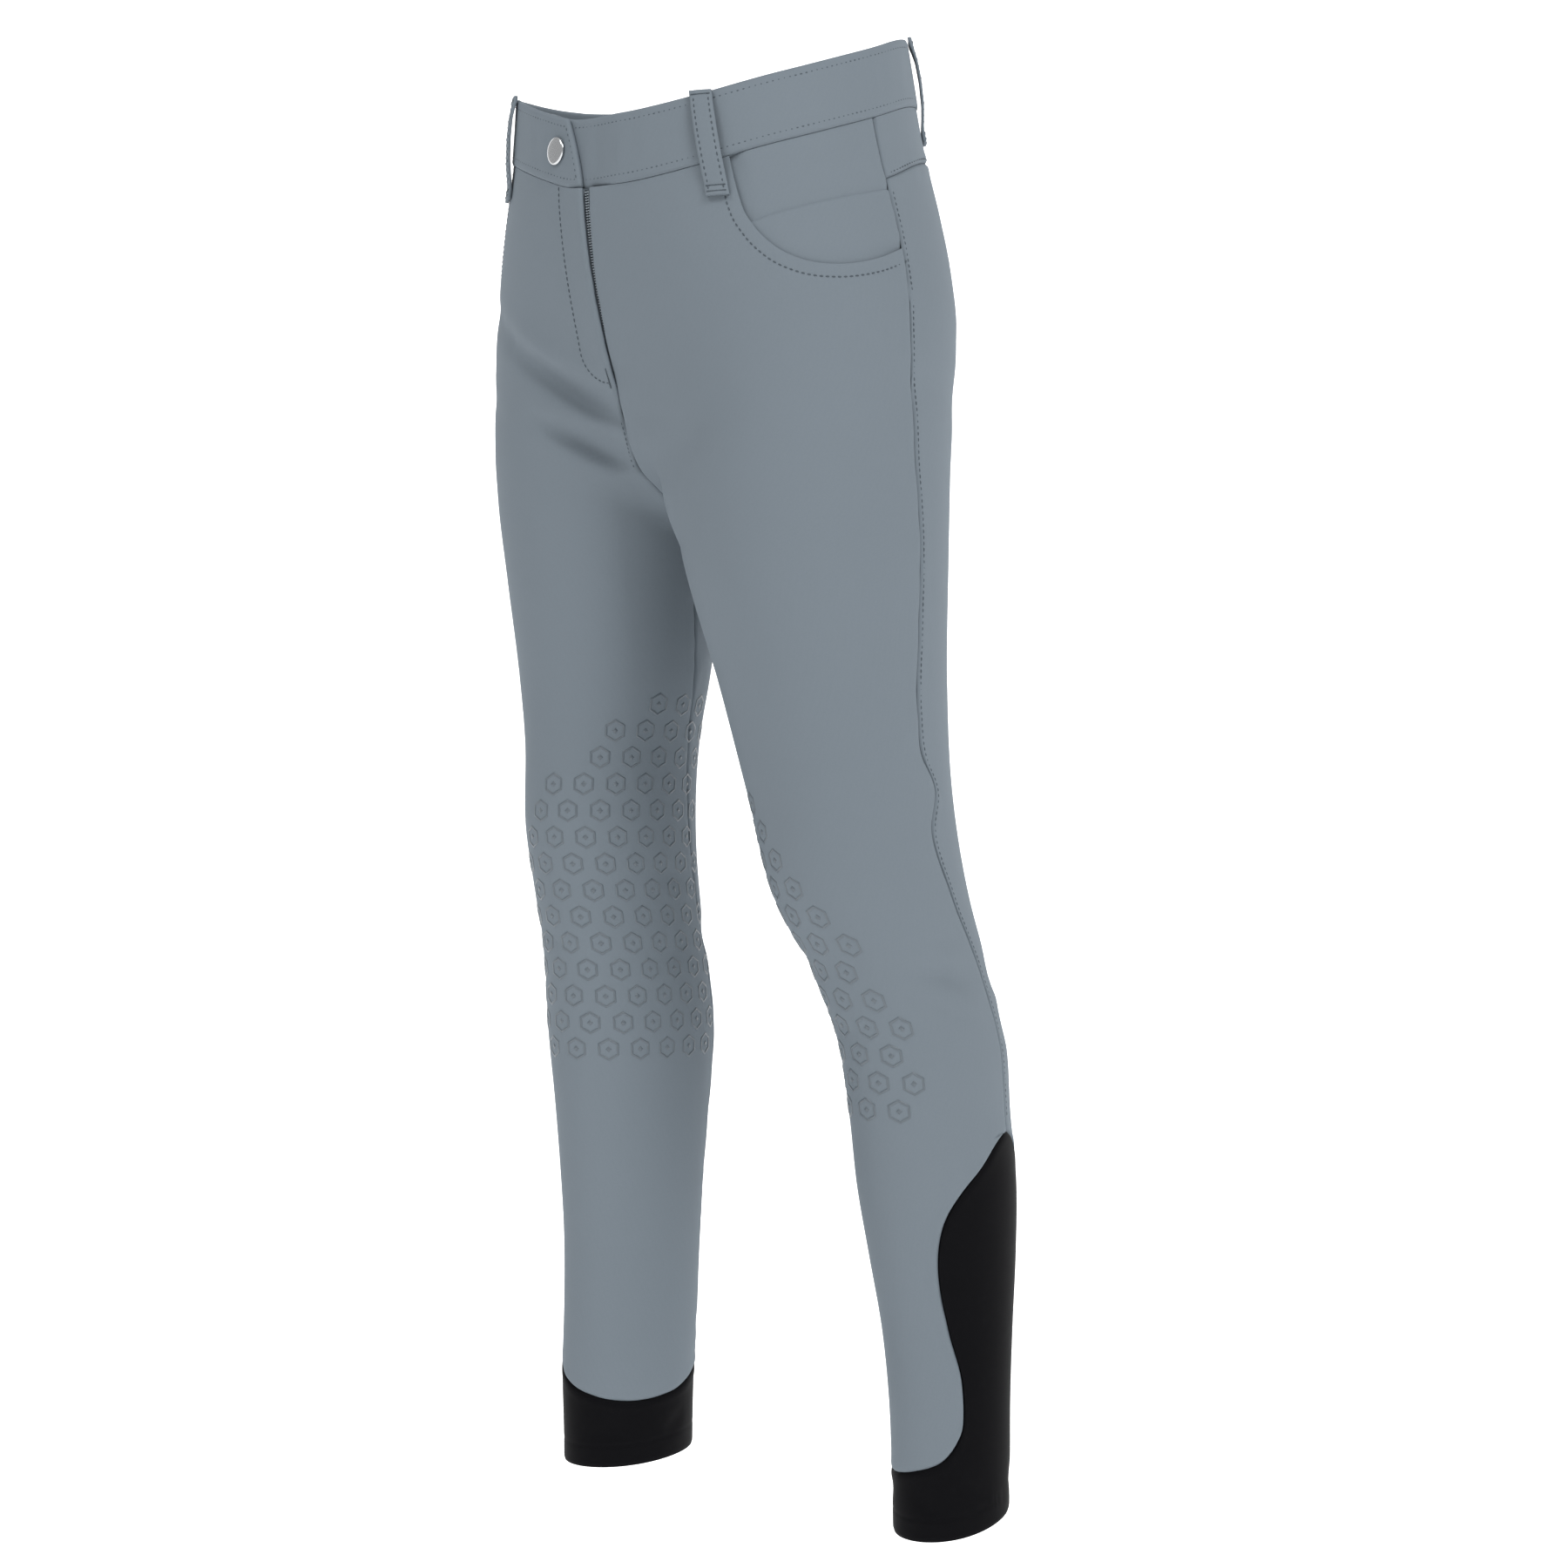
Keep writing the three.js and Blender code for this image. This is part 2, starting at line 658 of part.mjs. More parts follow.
// The inner long edge of a leg panel: up the inseam to the crotch, then up the centre seam
function innerEdge(leg, back) {
  const topZ = back ? yokeBottom(180) - SEAM_GAP : waistBottom(0) - SEAM_GAP;
  const topTilt = tiltAtHeight(topZ, back);
  const bottomZ = ankleEdge(leg, back ? 1 : 0, 1).z;
  const crotch = centrePoint((SIGN[leg] * SEAM_GAP) / 2, -90);
  return (v) => {
    if (v <= LEVELS.crotch) {
      const share = v / LEVELS.crotch;
      const knee = LEVELS.tongue / LEVELS.crotch;
      const upper = (share - knee) / (1 - knee);
      const z = share < knee ? mix(bottomZ, CALF_LEVEL, share / knee) : mix(CALF_LEVEL, crotch.z, upper);
      const seam = look(INSEAM, "z", z).angle;
      const inset = (SEAM_GAP / 2) * degreesPerMillimetre(leg, z);
      return { angle: back ? seam + 360 - inset : seam + inset, z };
    }
    const share = (v - LEVELS.crotch) / (1 - LEVELS.crotch);
    const tilt = mix(-90, back ? topTilt - 360 : topTilt, share ** RISE_CURVE);
    const open = back ? 0 : flyOpening(leg, centrePoint(0, tilt).z);
    const point = centrePoint(SIGN[leg] * (SEAM_GAP / 2 + open), tilt);
    return { angle: legAngle(leg, point, back ? "back" : "front"), z: point.z };
  };
}

// How far the left front is cut back from the middle, so that the zip shows beside the lapping edge
function flyOpening(leg, z) {
  if (leg === "right") {
    return 0;
  }
  const share = clamp((z - FLY_BOTTOM) / (waistBottom(0) - FLY_BOTTOM), 0, 1);
  return FLY_GAP_TOP * share ** 1.6;
}

// How far the right front stands off the form along its lapping edge
function flyLift(leg, place) {
  if (leg === "left" || place.z < FLY_BOTTOM - 30) {
    return 0;
  }
  const point = legPoint(leg, place.angle, place.z);
  const share = clamp((place.z - FLY_BOTTOM + 30) / 40, 0, 1);
  return FLY_PROUD * share * Math.exp(-((point.x / 14) ** 2));
}

function yokeBottom(bearing) {
  return waistBottom(bearing) - look(YOKE_SEAM, "bearing", Math.abs(bearing)).drop;
}

// The bearing at which the side seam stands at a height, less a gap in millimetres
function seamBearing(leg, z, gap) {
  const reachOut = torsoPoint(SIGN[leg] * 90, z).length();
  return bearingOf(leg, look(OUTSEAM[leg], "z", z).angle, z) - toDegrees(gap / reachOut);
}

// The scoop's edge at a share of its way from the waistband to the side seam
function pocketEdge(leg, share) {
  const first = POCKET_SCOOP[0].bearing;
  const last = POCKET_SCOOP[POCKET_SCOOP.length - 1].bearing;
  const row = look(POCKET_SCOOP, "bearing", mix(first, last, share ** SCOOP_TURN));
  const seam = seamBearing(leg, -125, SEAM_GAP / 2);
  const bearing = first + ((row.bearing - first) * (seam - first)) / (last - first);
  return { bearing, z: waistBottom(SIGN[leg] * bearing) - row.drop };
}

// The front's top edge: along the waistband, then round the scoop of the pocket to the side seam
function frontTop(leg) {
  const start = innerEdge(leg, false)(1);
  const startBearing = bearingOf(leg, start.angle, start.z);
  return (u) => {
    if (u <= TOP_ON_BAND) {
      const bearing = mix(startBearing, POCKET_SCOOP[0].bearing, u / TOP_ON_BAND);
      return flatOf(leg, bearing, waistBottom(SIGN[leg] * bearing) - SEAM_GAP, "front");
    }
    const place = pocketEdge(leg, (u - TOP_ON_BAND) / (1 - TOP_ON_BAND));
    return flatOf(leg, place.bearing, place.z, "front");
  };
}

// The front's outer long edge: up the bent edge of the ankle panel, then up the side seam
function frontOuter(leg) {
  const end = frontTop(leg)(1);
  const seamEnd = ankleEdge(leg, OUTSEAM_END, 1);
  return (v) => {
    if (v <= LEVELS.tongue) {
      return ankleEdge(leg, mix(TONGUE_END, OUTSEAM_END, v / LEVELS.tongue), 1);
    }
    const share = (v - LEVELS.tongue) / (1 - LEVELS.tongue);
    const z = mix(seamEnd.z, end.z, share);
    const inset = (SEAM_GAP / 2) * degreesPerMillimetre(leg, z);
    if (share < 1e-9) {
      return seamEnd;
    }
    return share > 1 - 1e-9 ? end : { angle: look(OUTSEAM[leg], "z", z).angle - inset, z };
  };
}

function frontPanel(leg) {
  const edges = {
    inner: innerEdge(leg, false),
    outer: frontOuter(leg),
    top: frontTop(leg),
    bottom: (u) => ankleEdge(leg, mix(CORNER_STEP, TONGUE_END, u), 1),
  };
  const flat = patch(edges, evenly(GRID.frontColumns), frontRows(), 0.2, 0.2);
  return legWall(leg, flat, (place) => flyLift(leg, place));
}

// The front's rows: in its tongue, up the leg to the crotch, and up the centre seam
function frontRows() {
  return rowsInRuns([
    { to: LEVELS.tongue, count: GRID.tongueRows },
    { to: LEVELS.crotch, count: GRID.legRows },
    { to: 1, count: GRID.riseRows },
  ]);
}

// An edge told by its places row by row
function stationed(places) {
  const last = places.length - 1;
  return (v) => places[Math.round(v * last)];
}

// The back meets the front row for row along both leg seams, so its edges take the front's heights
function backPanel(leg) {
  const seamTop = outseamTop(leg);
  const frontEdge = frontOuter(leg);
  const beside = frontRows().filter((v) => v >= LEVELS.tongue - 1e-9);
  const heights = beside.map((v) => frontEdge(v).z);
  const pocketEnd = heights[heights.length - 1];
  for (const share of evenly(GRID.hipRows).slice(1)) {
    heights.push(mix(pocketEnd, seamTop.z, share));
  }
  const seamPlaces = heights.map((z) => {
    const inset = (SEAM_GAP / 2) * degreesPerMillimetre(leg, z);
    return { angle: look(OUTSEAM[leg], "z", z).angle + inset, z };
  });
  seamPlaces[0] = ankleEdge(leg, OUTSEAM_END, 1);
  const innerSeam = innerEdge(leg, true);
  const legRows = frontRows().filter((v) => v <= LEVELS.crotch + 1e-9);
  const riseRows = heights.length - legRows.length;
  const centreRows = evenly(riseRows).slice(1).map((share) => mix(LEVELS.crotch, 1, share));
  const innerPlaces = [...legRows, ...centreRows].map(innerSeam);
  const edges = {
    inner: stationed(seamPlaces),
    outer: stationed(innerPlaces),
    top: (u) => {
      const bearing = mix(seamTop.bearing, 180 - BACK_MIDDLE_INSET, u);
      return flatOf(leg, bearing, yokeBottom(SIGN[leg] * bearing) - SEAM_GAP, "back");
    },
    bottom: (u) => ankleEdge(leg, mix(OUTSEAM_END, 1 - CORNER_STEP, u), 1),
  };
  const flat = patch(edges, evenly(GRID.backColumns), evenly(heights.length - 1), 0.2, 0.25);
  return legWall(leg, flat, () => 0);
}

// The place where the yoke seam meets the side seam
function outseamTop(leg) {
  let z = -84;
  let bearing = 90;
  for (let turn = 0; turn < 6; turn += 1) {
    bearing = bearingOf(leg, look(OUTSEAM[leg], "z", z).angle, z) + SIDE_INSET;
    z = yokeBottom(SIGN[leg] * bearing) - SEAM_GAP;
  }
  return { bearing, z };
}

function legWall(leg, flat, liftOf) {
  const outer = flat.map((line) => line.map((place) => onLeg(leg, place.angle, place.z, liftOf(place))));
  const inner = flat.map((line) => line.map((place) => onLeg(leg, place.angle, place.z, liftOf(place) - CLOTH_WALL)));
  return wall(outer, inner, false);
}

function hemHeight(leg, angle) {
  const hem = HEM[leg];
  return hem.z - hem.tip * Math.cos(toRadians(angle - hem.lowest));
}

// The ankle panel's columns end where the columns and rows of the leg panels above it end
function ankleStations() {
  const front = evenly(GRID.frontColumns).map((u) => u * TONGUE_END);
  const bend = evenly(GRID.tongueRows).map((u) => mix(TONGUE_END, OUTSEAM_END, u));
  const back = evenly(GRID.backColumns).map((u) => mix(OUTSEAM_END, 1, u));
  return [...front, ...bend.slice(1), ...back.slice(1, -1)];
}

function anklePanel(leg) {
  const outer = [];
  const inner = [];
  for (const v of evenly(GRID.ankleRows)) {
    const outerLine = [];
    const innerLine = [];
    for (const round of ankleStations()) {
      const edge = ankleEdge(leg, round, -1);
      const angle = mix(edge.hem, edge.angle, v);
      const z = mix(hemHeight(leg, edge.hem), edge.z, v);
      outerLine.push(onLeg(leg, angle, z, 0));
      innerLine.push(onLeg(leg, angle, z, -CLOTH_WALL));
    }
    outer.push(outerLine);
    inner.push(innerLine);
  }
  return wall(outer, inner, true);
}

function yokePanel(leg) {
  const side = SIGN[leg];
  const outer = [];
  const inner = [];
  for (const v of evenly(GRID.yokeRows)) {
    const outerLine = [];
    const innerLine = [];
    for (const u of evenly(GRID.yokeColumns)) {
      const edgeZ = mix(yokeBottom(side * 91), waistBottom(side * 91), v);
      const seam = bearingOf(leg, look(OUTSEAM[leg], "z", edgeZ).angle, edgeZ) + SIDE_INSET;
      const bearing = mix(seam, 180 - YOKE_MIDDLE_INSET, u);
      const z = mix(yokeBottom(side * bearing), waistBottom(side * bearing) - SEAM_GAP, v);
      outerLine.push(onTorso(side * bearing, z, 0));
      innerLine.push(onTorso(side * bearing, z, -CLOTH_WALL));
    }
    outer.push(outerLine);
    inner.push(innerLine);
  }
  return wall(outer, inner, false);
}

// A strip on the torso between two heights, each given by bearing, at a depth under the form
function torsoStrip(bearings, topOf, bottomOf, rows, outHeight, inHeight) {
  const outer = [];
  const inner = [];
  for (const v of evenly(rows)) {
    const outerLine = [];
    const innerLine = [];
    for (const bearing of bearings) {
      const z = mix(bottomOf(bearing), topOf(bearing), v);
      outerLine.push(onTorso(bearing, z, outHeight(bearing, z)));
      innerLine.push(onTorso(bearing, z, inHeight(bearing, z)));
    }
    outer.push(outerLine);
    inner.push(innerLine);
  }
  return wall(outer, inner, false);
}

function spread(from, to, count) {
  return evenly(count).map((share) => mix(from, to, share));
}

// A piece inside the scoop, from a bearing under the front to the side seam, between two drops
function insideScoop(leg, from, topDrop, bottomDrop, rows, outHeight, wallHeight) {
  const outer = [];
  const inner = [];
  for (const v of evenly(rows)) {
    const outerLine = [];
    const innerLine = [];
    for (const u of evenly(GRID.pocketColumns)) {
      const guess = mix(from, 90, u);
      const level = waistBottom(SIGN[leg] * guess) - mix(bottomDrop(guess), topDrop(guess), v);
      const side = mix(from, seamBearing(leg, level, SEAM_GAP), u);
      const z = waistBottom(SIGN[leg] * side) - mix(bottomDrop(side), topDrop(side), v);
      outerLine.push(onTorso(SIGN[leg] * side, z, outHeight));
      innerLine.push(onTorso(SIGN[leg] * side, z, outHeight - wallHeight));
    }
    outer.push(outerLine);
    inner.push(innerLine);
  }
  return wall(outer, inner, false);
}

// The plain piece behind the scoop, which runs on under the front
function pocketFacing(leg) {
  const piece = POCKET_PIECES.facing;
  return insideScoop(leg, piece.from, () => SEAM_GAP, () => piece.drop, 6, -2 * LAYER_STEP, FLY_LAYERS.facing.thick);
}

// The small pocket's front, which lies between the facing and the front
function coinPocket(leg) {
  const mouth = (bearing) => look(COIN_MOUTH, "bearing", bearing).drop;
  const piece = POCKET_PIECES.coin;
  return insideScoop(leg, piece.from, mouth, () => piece.drop, 4, -LAYER_STEP - SEAM_GAP, LAYER_STEP / 2);
}

// How far the waistband is pressed in where the lapping end lies over it
function lapDrop(turned) {
  const start = UNDERLAP_BEARING;
  const clear = 14;
  const share = clamp((turned - TAB_END_BEARING - 4) / clear, 0, 1);
  return turned < start ? 0 : LAP_STEP * (1 - share * share * (3 - 2 * share));
}

// The lapping end leans back towards its top edge
function tabEnd(v) {
  return 360 + TAB_END_BEARING - TAB_LEAN * v ** 1.5;
}

function waistband() {
  const outer = [];
  const inner = [];
  for (const v of evenly(GRID.bandRows)) {
    const outerLine = [];
    const innerLine = [];
    for (const bearing of spread(UNDERLAP_BEARING, tabEnd(v), GRID.bandColumns)) {
      const drop = bearing < 30 ? lapDrop(bearing) : 0;
      const z = mix(waistBottom(bearing), waistTop(bearing), v);
      outerLine.push(onTorso(bearing, z, BAND_PROUD - drop));
      innerLine.push(onTorso(bearing, z, BAND_PROUD - drop - BAND_WALL));
    }
    outer.push(outerLine);
    inner.push(innerLine);
  }
  return wall(outer, inner, false);
}

// A belt loop's side view: height over the band's lower edge, and where its under and upper side stand
const LOOP_PROFILE = [
  { up: -20, under: 0.4, over: 2.9 },
  { up: -14.5, under: 0.4, over: 2.9 },
  { up: -12, under: 0.9, over: 2.6 },
  { up: -5, under: 2.4, over: 4.0 },
  { up: 4, under: 3.9, over: 5.5 },
  { up: 18, under: 4.6, over: 6.2 },
  { up: 30, under: 4.1, over: 5.7 },
  { up: 37, under: 2.6, over: 4.6 },
  { up: 39.5, under: 1.6, over: 4.3 },
  { up: 43, under: 1.6, over: 4.0 },
];

function beltLoop(place) {
  const outer = [];
  const inner = [];
  for (const row of LOOP_PROFILE) {
    const outerLine = [];
    const innerLine = [];
    for (const share of evenly(3)) {
      const lean = Math.abs(place) < 180 ? Math.sign(place) * LOOP_LEAN * (1 - row.up / BAND_HEIGHT) : 0;
      const bearing = place + lean;
      const z = waistBottom(place) + row.up;
      const perMillimetre = toDegrees(1 / torsoPoint(bearing, z).length());
      const across = bearing + (share - 0.5) * LOOP_WIDTH * perMillimetre;
      outerLine.push(onTorso(across, z, row.over));
      innerLine.push(onTorso(across, z, row.under));
    }
    outer.push(outerLine);
    inner.push(innerLine);
  }
  return wall(outer, inner, false);
}

// The snap's cap: a low dome with a rolled rim, square to the lapping end of the waistband
function snapCap() {
  const radius = SNAP_DIAMETER / 2;
  const profile = [
    new THREE.Vector2(0, 0),
    new THREE.Vector2(radius - 0.5, 0),
    new THREE.Vector2(radius, 0.5),
    new THREE.Vector2(radius, 1.3),
    new THREE.Vector2(radius - 0.7, 1.9),
    new THREE.Vector2(radius - 1.6, 1.7),
    new THREE.Vector2(radius - 3.4, 2.1),
    new THREE.Vector2(radius - 5.8, 2.4),
    new THREE.Vector2(0, 2.5),
  ];
  const cap = new THREE.LatheGeometry(profile, GRID.snapSides);
  const z = waistTop(SNAP_BEARING) - SNAP_DROP;
  const base = onTorso(SNAP_BEARING, z, BAND_PROUD + SEAM_GAP);
  const tip = onTorso(SNAP_BEARING, z, BAND_PROUD + SEAM_GAP + 1);
  const axis = tip.clone().sub(base).normalize();
  const turn = new THREE.Quaternion().setFromUnitVectors(new THREE.Vector3(0, 1, 0), axis);
  cap.applyQuaternion(turn);
  cap.translate(base.x, base.y, base.z);
  return cap;
}

function bearingAtX(x, z) {
  return toDegrees(Math.atan2(x, -torsoPoint(0, z).y));
}

// A strip beside the front's middle, by how far it reaches to each side
function flyStrip(fromX, toX, bottomZ, layer) {
  return torsoStrip(
    spread(bearingAtX(fromX, -120), bearingAtX(toX, -120), 4),
    (bearing) => waistBottom(bearing) - 1,
    () => bottomZ,
    8,
    () => -layer.down,
    () => -layer.down - layer.thick,
  );
}

const CLOTH = new THREE.MeshStandardMaterial({ color: 0x7d8991, roughness: 0.72, metalness: 0 });
const BLACK = new THREE.MeshStandardMaterial({ color: 0x16171b, roughness: 0.55, metalness: 0 });
const METAL = new THREE.MeshStandardMaterial({ color: 0xb9bcbf, roughness: 0.28, metalness: 1 });
const TAPE = new THREE.MeshStandardMaterial({ color: 0x5d666d, roughness: 0.8, metalness: 0 });

const part = new THREE.Group();
part.name = "riding_breeches";

function add(name, geometry, material) {
  const mesh = new THREE.Mesh(geometry, material.clone());
  mesh.name = name;
  part.add(mesh);
}

for (const leg of ["left", "right"]) {
  add("front_" + leg, frontPanel(leg), CLOTH);
  add("back_" + leg, backPanel(leg), CLOTH);
  add("yoke_" + leg, yokePanel(leg), CLOTH);
  add("pocket_facing_" + leg, pocketFacing(leg), CLOTH);
  add("coin_pocket_" + leg, coinPocket(leg), CLOTH);
  add("ankle_panel_" + leg, anklePanel(leg), BLACK);
}
add("waistband", waistband(), CLOTH);
for (const place of ["front", "side"]) {
  for (const leg of ["left", "right"]) {
    add("belt_loop_" + place + "_" + leg, beltLoop(SIGN[leg] * LOOP_BEARINGS[place]), CLOTH);
  }
}
add("belt_loop_back", beltLoop(LOOP_BEARINGS.back), CLOTH);
add("snap_cap", snapCap(), METAL);
const halfTape = ZIP_TAPE_WIDTH / 2;
const halfShield = FLY_SHIELD_WIDTH / 2;
add("fly_facing", flyStrip(-FLY_FACING_WIDTH, -1, FLY_BOTTOM, FLY_LAYERS.facing), CLOTH);
add("zip_tape", flyStrip(-halfTape, halfTape, FLY_BOTTOM + 4, FLY_LAYERS.tape), TAPE);
add("fly_shield", flyStrip(-halfShield, halfShield, FLY_BOTTOM - 2, FLY_LAYERS.shield), CLOTH);

export default part;
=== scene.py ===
"""Riding breeches in stretch cloth, in their worn shape and with no wearer inside.

The wearer faces -Y, the wearer's left is +X and up is +Z. Sizes in the tables are in millimetres; meshes are
in metres. Each piece of cloth is a thin wall on one form: an oval torso section joined smoothly to two oval
legs.

A place on a leg is told by its angle (0 front, 90 outer side, 180 back, 270 or -90 inner side) and height.
A place on the torso is told by its bearing from the front, positive to the wearer's left, and its height.
"""

import logging
import math
from dataclasses import dataclass, field
from enum import Enum
from typing import Callable, NamedTuple, Sequence

import bpy
import numpy as np
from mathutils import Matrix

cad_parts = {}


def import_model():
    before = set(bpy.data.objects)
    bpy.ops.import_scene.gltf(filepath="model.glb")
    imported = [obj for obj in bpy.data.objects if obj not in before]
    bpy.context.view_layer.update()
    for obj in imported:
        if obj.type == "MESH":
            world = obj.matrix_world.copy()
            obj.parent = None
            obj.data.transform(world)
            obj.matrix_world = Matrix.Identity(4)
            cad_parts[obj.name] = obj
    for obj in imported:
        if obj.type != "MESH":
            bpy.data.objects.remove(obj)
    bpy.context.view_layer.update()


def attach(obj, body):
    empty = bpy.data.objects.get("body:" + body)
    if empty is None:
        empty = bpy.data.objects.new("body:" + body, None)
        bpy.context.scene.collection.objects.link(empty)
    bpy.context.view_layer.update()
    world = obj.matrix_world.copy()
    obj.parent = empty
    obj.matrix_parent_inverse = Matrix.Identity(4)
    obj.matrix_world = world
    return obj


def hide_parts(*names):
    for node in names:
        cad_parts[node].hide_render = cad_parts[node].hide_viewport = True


log = logging.getLogger("breeches")

MM = 0.001
SEED = 20
# how far the right front stands off along the edge that laps over the zip
FLY_PROUD = 1.8
# height at which the fly ends
FLY_BOTTOM = -196.0
BAND_HEIGHT = 42.0
# length along the waist of a degree of bearing
MM_PER_DEGREE = 2.1

Array = np.ndarray
Edge = Callable[[Array], tuple[Array, Array]]
DropLine = Callable[[Array | float], Array]


class Leg(Enum):
    """A side of the garment; the value is the sign of X on that side."""

    LEFT = 1
    RIGHT = -1

    @property
    def word(self) -> str:
        """The side's name as the record's nodes spell it."""
        return self.name.lower()


class Held(Enum):
    STRETCHED = "stretched"


class Cut(Enum):
    """Width and length in metres of what shows of each piece of cloth before it is sewn, without turnings."""

    FRONT = (0.27, 0.84)
    BACK = (0.24, 0.76)
    YOKE = (0.2, 0.055)
    FACING = (0.125, 0.097)
    COIN = (0.125, 0.048)
    ANKLE = (0.24, 0.24)
    WAISTBAND = (0.84, 0.042)
    LOOP = (0.014, 0.068)
    FLY_FACING = (0.035, 0.12)
    TAPE = (0.024, 0.12)
    SHIELD = (0.05, 0.13)


# Tables


def rows_of(kind: type, *values: tuple) -> list:
    """A table's rows of one kind, from plain tuples in the order of its fields."""
    return [kind(*value) for value in values]


class TorsoRow(NamedTuple):
    """A torso section: half width, depth to the front and back, and how square the oval is."""

    z: float
    half: float
    front: float
    back: float
    power: float


class LegRow(NamedTuple):
    """A leg section: centre out from the middle and back from the front, half width and half depth."""

    z: float
    out: float
    back: float
    half: float
    deep: float


class WaistRow(NamedTuple):
    """The waistband's top edge at a bearing."""

    bearing: float
    top: float


class DropRow(NamedTuple):
    """A seam or edge told by its drop below the waistband at a bearing."""

    bearing: float
    drop: float


class SeamRow(NamedTuple):
    """A long seam told by its angle on the leg at a height."""

    z: float
    angle: float


class AnkleRow(NamedTuple):
    """The ankle panel's upper edge, once round, with the hem angle each place grows from."""

    round: float
    hem: float
    angle: float
    z: float


class LoopRow(NamedTuple):
    """A belt loop's side view: height over the band's lower edge, and how far its two sides stand off."""

    up: float
    under: float
    over: float


class Lamp(NamedTuple):
    """A soft square light: its bearing, height and distance, its side in metres and its power in watts."""

    name: str
    bearing: float
    height: float
    away: float
    size: float
    power: float


class HemRow(NamedTuple):
    """A hem: mean height, how far it tips and the angle at which it is lowest."""

    z: float
    tip: float
    lowest: float


class Fold(NamedTuple):
    """A trough (depth below nought) or ridge between two places on a leg."""

    leg: Leg
    angle: float
    z: float
    to_angle: float
    to_z: float
    width: float
    depth: float


TORSO = rows_of(
    TorsoRow,
    (40, 130, 111, 76, 2.1), (0, 131, 112, 90, 2.1), (-45, 135, 111, 105, 2.15),
    (-90, 147, 110, 116, 2.2), (-130, 158, 104, 118, 2.2), (-165, 162, 95, 114, 2.2),
    (-195, 150, 85, 105, 2.2), (-220, 112, 76, 86, 2.2), (-238, 70, 68, 62, 2.2),
    (-250, 44, 58, 34, 2.2), (-262, 28, 38, 16, 2.2), (-274, 18, 14, 12, 2.2), (-286, 14, -6, -6, 2.2),
    (-296, 14, -16, -16, 2.2),
)

LEGS = {
    Leg.LEFT: rows_of(
        LegRow,
        (40, 58, 0, 56, 78), (-60, 68, 0, 66, 80), (-120, 76, 2, 74, 79), (-170, 82, 2, 80, 81),
        (-215, 87, 0, 85, 86), (-255, 89, -2, 84, 85), (-310, 93, -2, 80, 81), (-382, 98, 7, 69, 71),
        (-450, 102, 18, 61, 65), (-515, 106, 34, 55, 65), (-560, 110, 55, 50, 60),
        (-604, 113, 71, 47, 58), (-649, 116, 75, 45, 56), (-693, 119, 78, 45, 55),
        (-737, 122, 80, 42, 50), (-782, 125, 81, 38, 44), (-826, 128, 80, 35, 41),
        (-871, 129, 80, 34, 40), (-915, 129, 80, 33, 39),
    ),
    Leg.RIGHT: rows_of(
        LegRow,
        (40, 58, 0, 56, 78), (-60, 68, 0, 66, 80), (-120, 76, -3, 74, 78), (-170, 82, -6, 80, 78),
        (-215, 86, -8, 83, 80), (-255, 88, -8, 82, 76), (-310, 89, -9, 73, 69),
        (-371, 88, -10, 64, 62), (-415, 88, -12, 55, 59), (-471, 87, -14, 51, 59),
        (-515, 86, -9, 48, 58), (-560, 85, -2, 48, 58), (-604, 84, 1, 48, 59), (-649, 83, 1, 45, 55),
        (-693, 82, 0, 42, 51), (-737, 81, -1, 40, 48), (-782, 80, -3, 39, 47), (-826, 79, -6, 39, 46),
        (-871, 79, -6, 38, 45), (-915, 79, -6, 38, 45),
    ),
}

WAIST = rows_of(
    WaistRow,
    (-180, 27), (-168, 27), (-140, 23), (-90, 9), (-60, 1), (-44, -7), (-33, -16), (-20, -26.5),
    (-6, -36), (8, -39), (24, -40), (42, -36), (64, -22.5), (88, -2.5), (104, 12), (140, 24),
    (168, 27), (180, 27),
)

YOKE_SEAM = rows_of(
    DropRow,
    (80, 40), (92, 38), (112, 35), (132, 34), (156, 41), (180, 50),
)

SCOOP = rows_of(
    DropRow,
    (50.5, 0.3), (51.6, 14), (53.4, 32), (56, 46), (60, 60.5), (66, 74), (73, 82), (81, 84.5),
    (89, 82),
)

COIN_MOUTH = rows_of(DropRow, (48, 45), (56, 42.5), (72, 41.5), (92, 45))

OUTSEAM = {
    Leg.LEFT: rows_of(
        SeamRow,
        (20, 88), (-45, 89), (-125, 89), (-180, 88), (-246, 92), (-300, 96), (-352, 94.5),
        (-400, 91.5), (-427, 93.5), (-447, 102.5), (-470, 95.5), (-508, 105), (-551, 115), (-604, 121),
        (-670, 123), (-915, 123),
    ),
    Leg.RIGHT: rows_of(
        SeamRow,
        (20, 88), (-45, 89), (-125, 90), (-250, 91), (-330, 93), (-450, 97), (-560, 104), (-670, 110),
        (-915, 112),
    ),
}

INSEAM = rows_of(
    SeamRow,
    (-270, -90), (-330, -97), (-450, -119), (-560, -137), (-700, -148), (-915, -150),
)

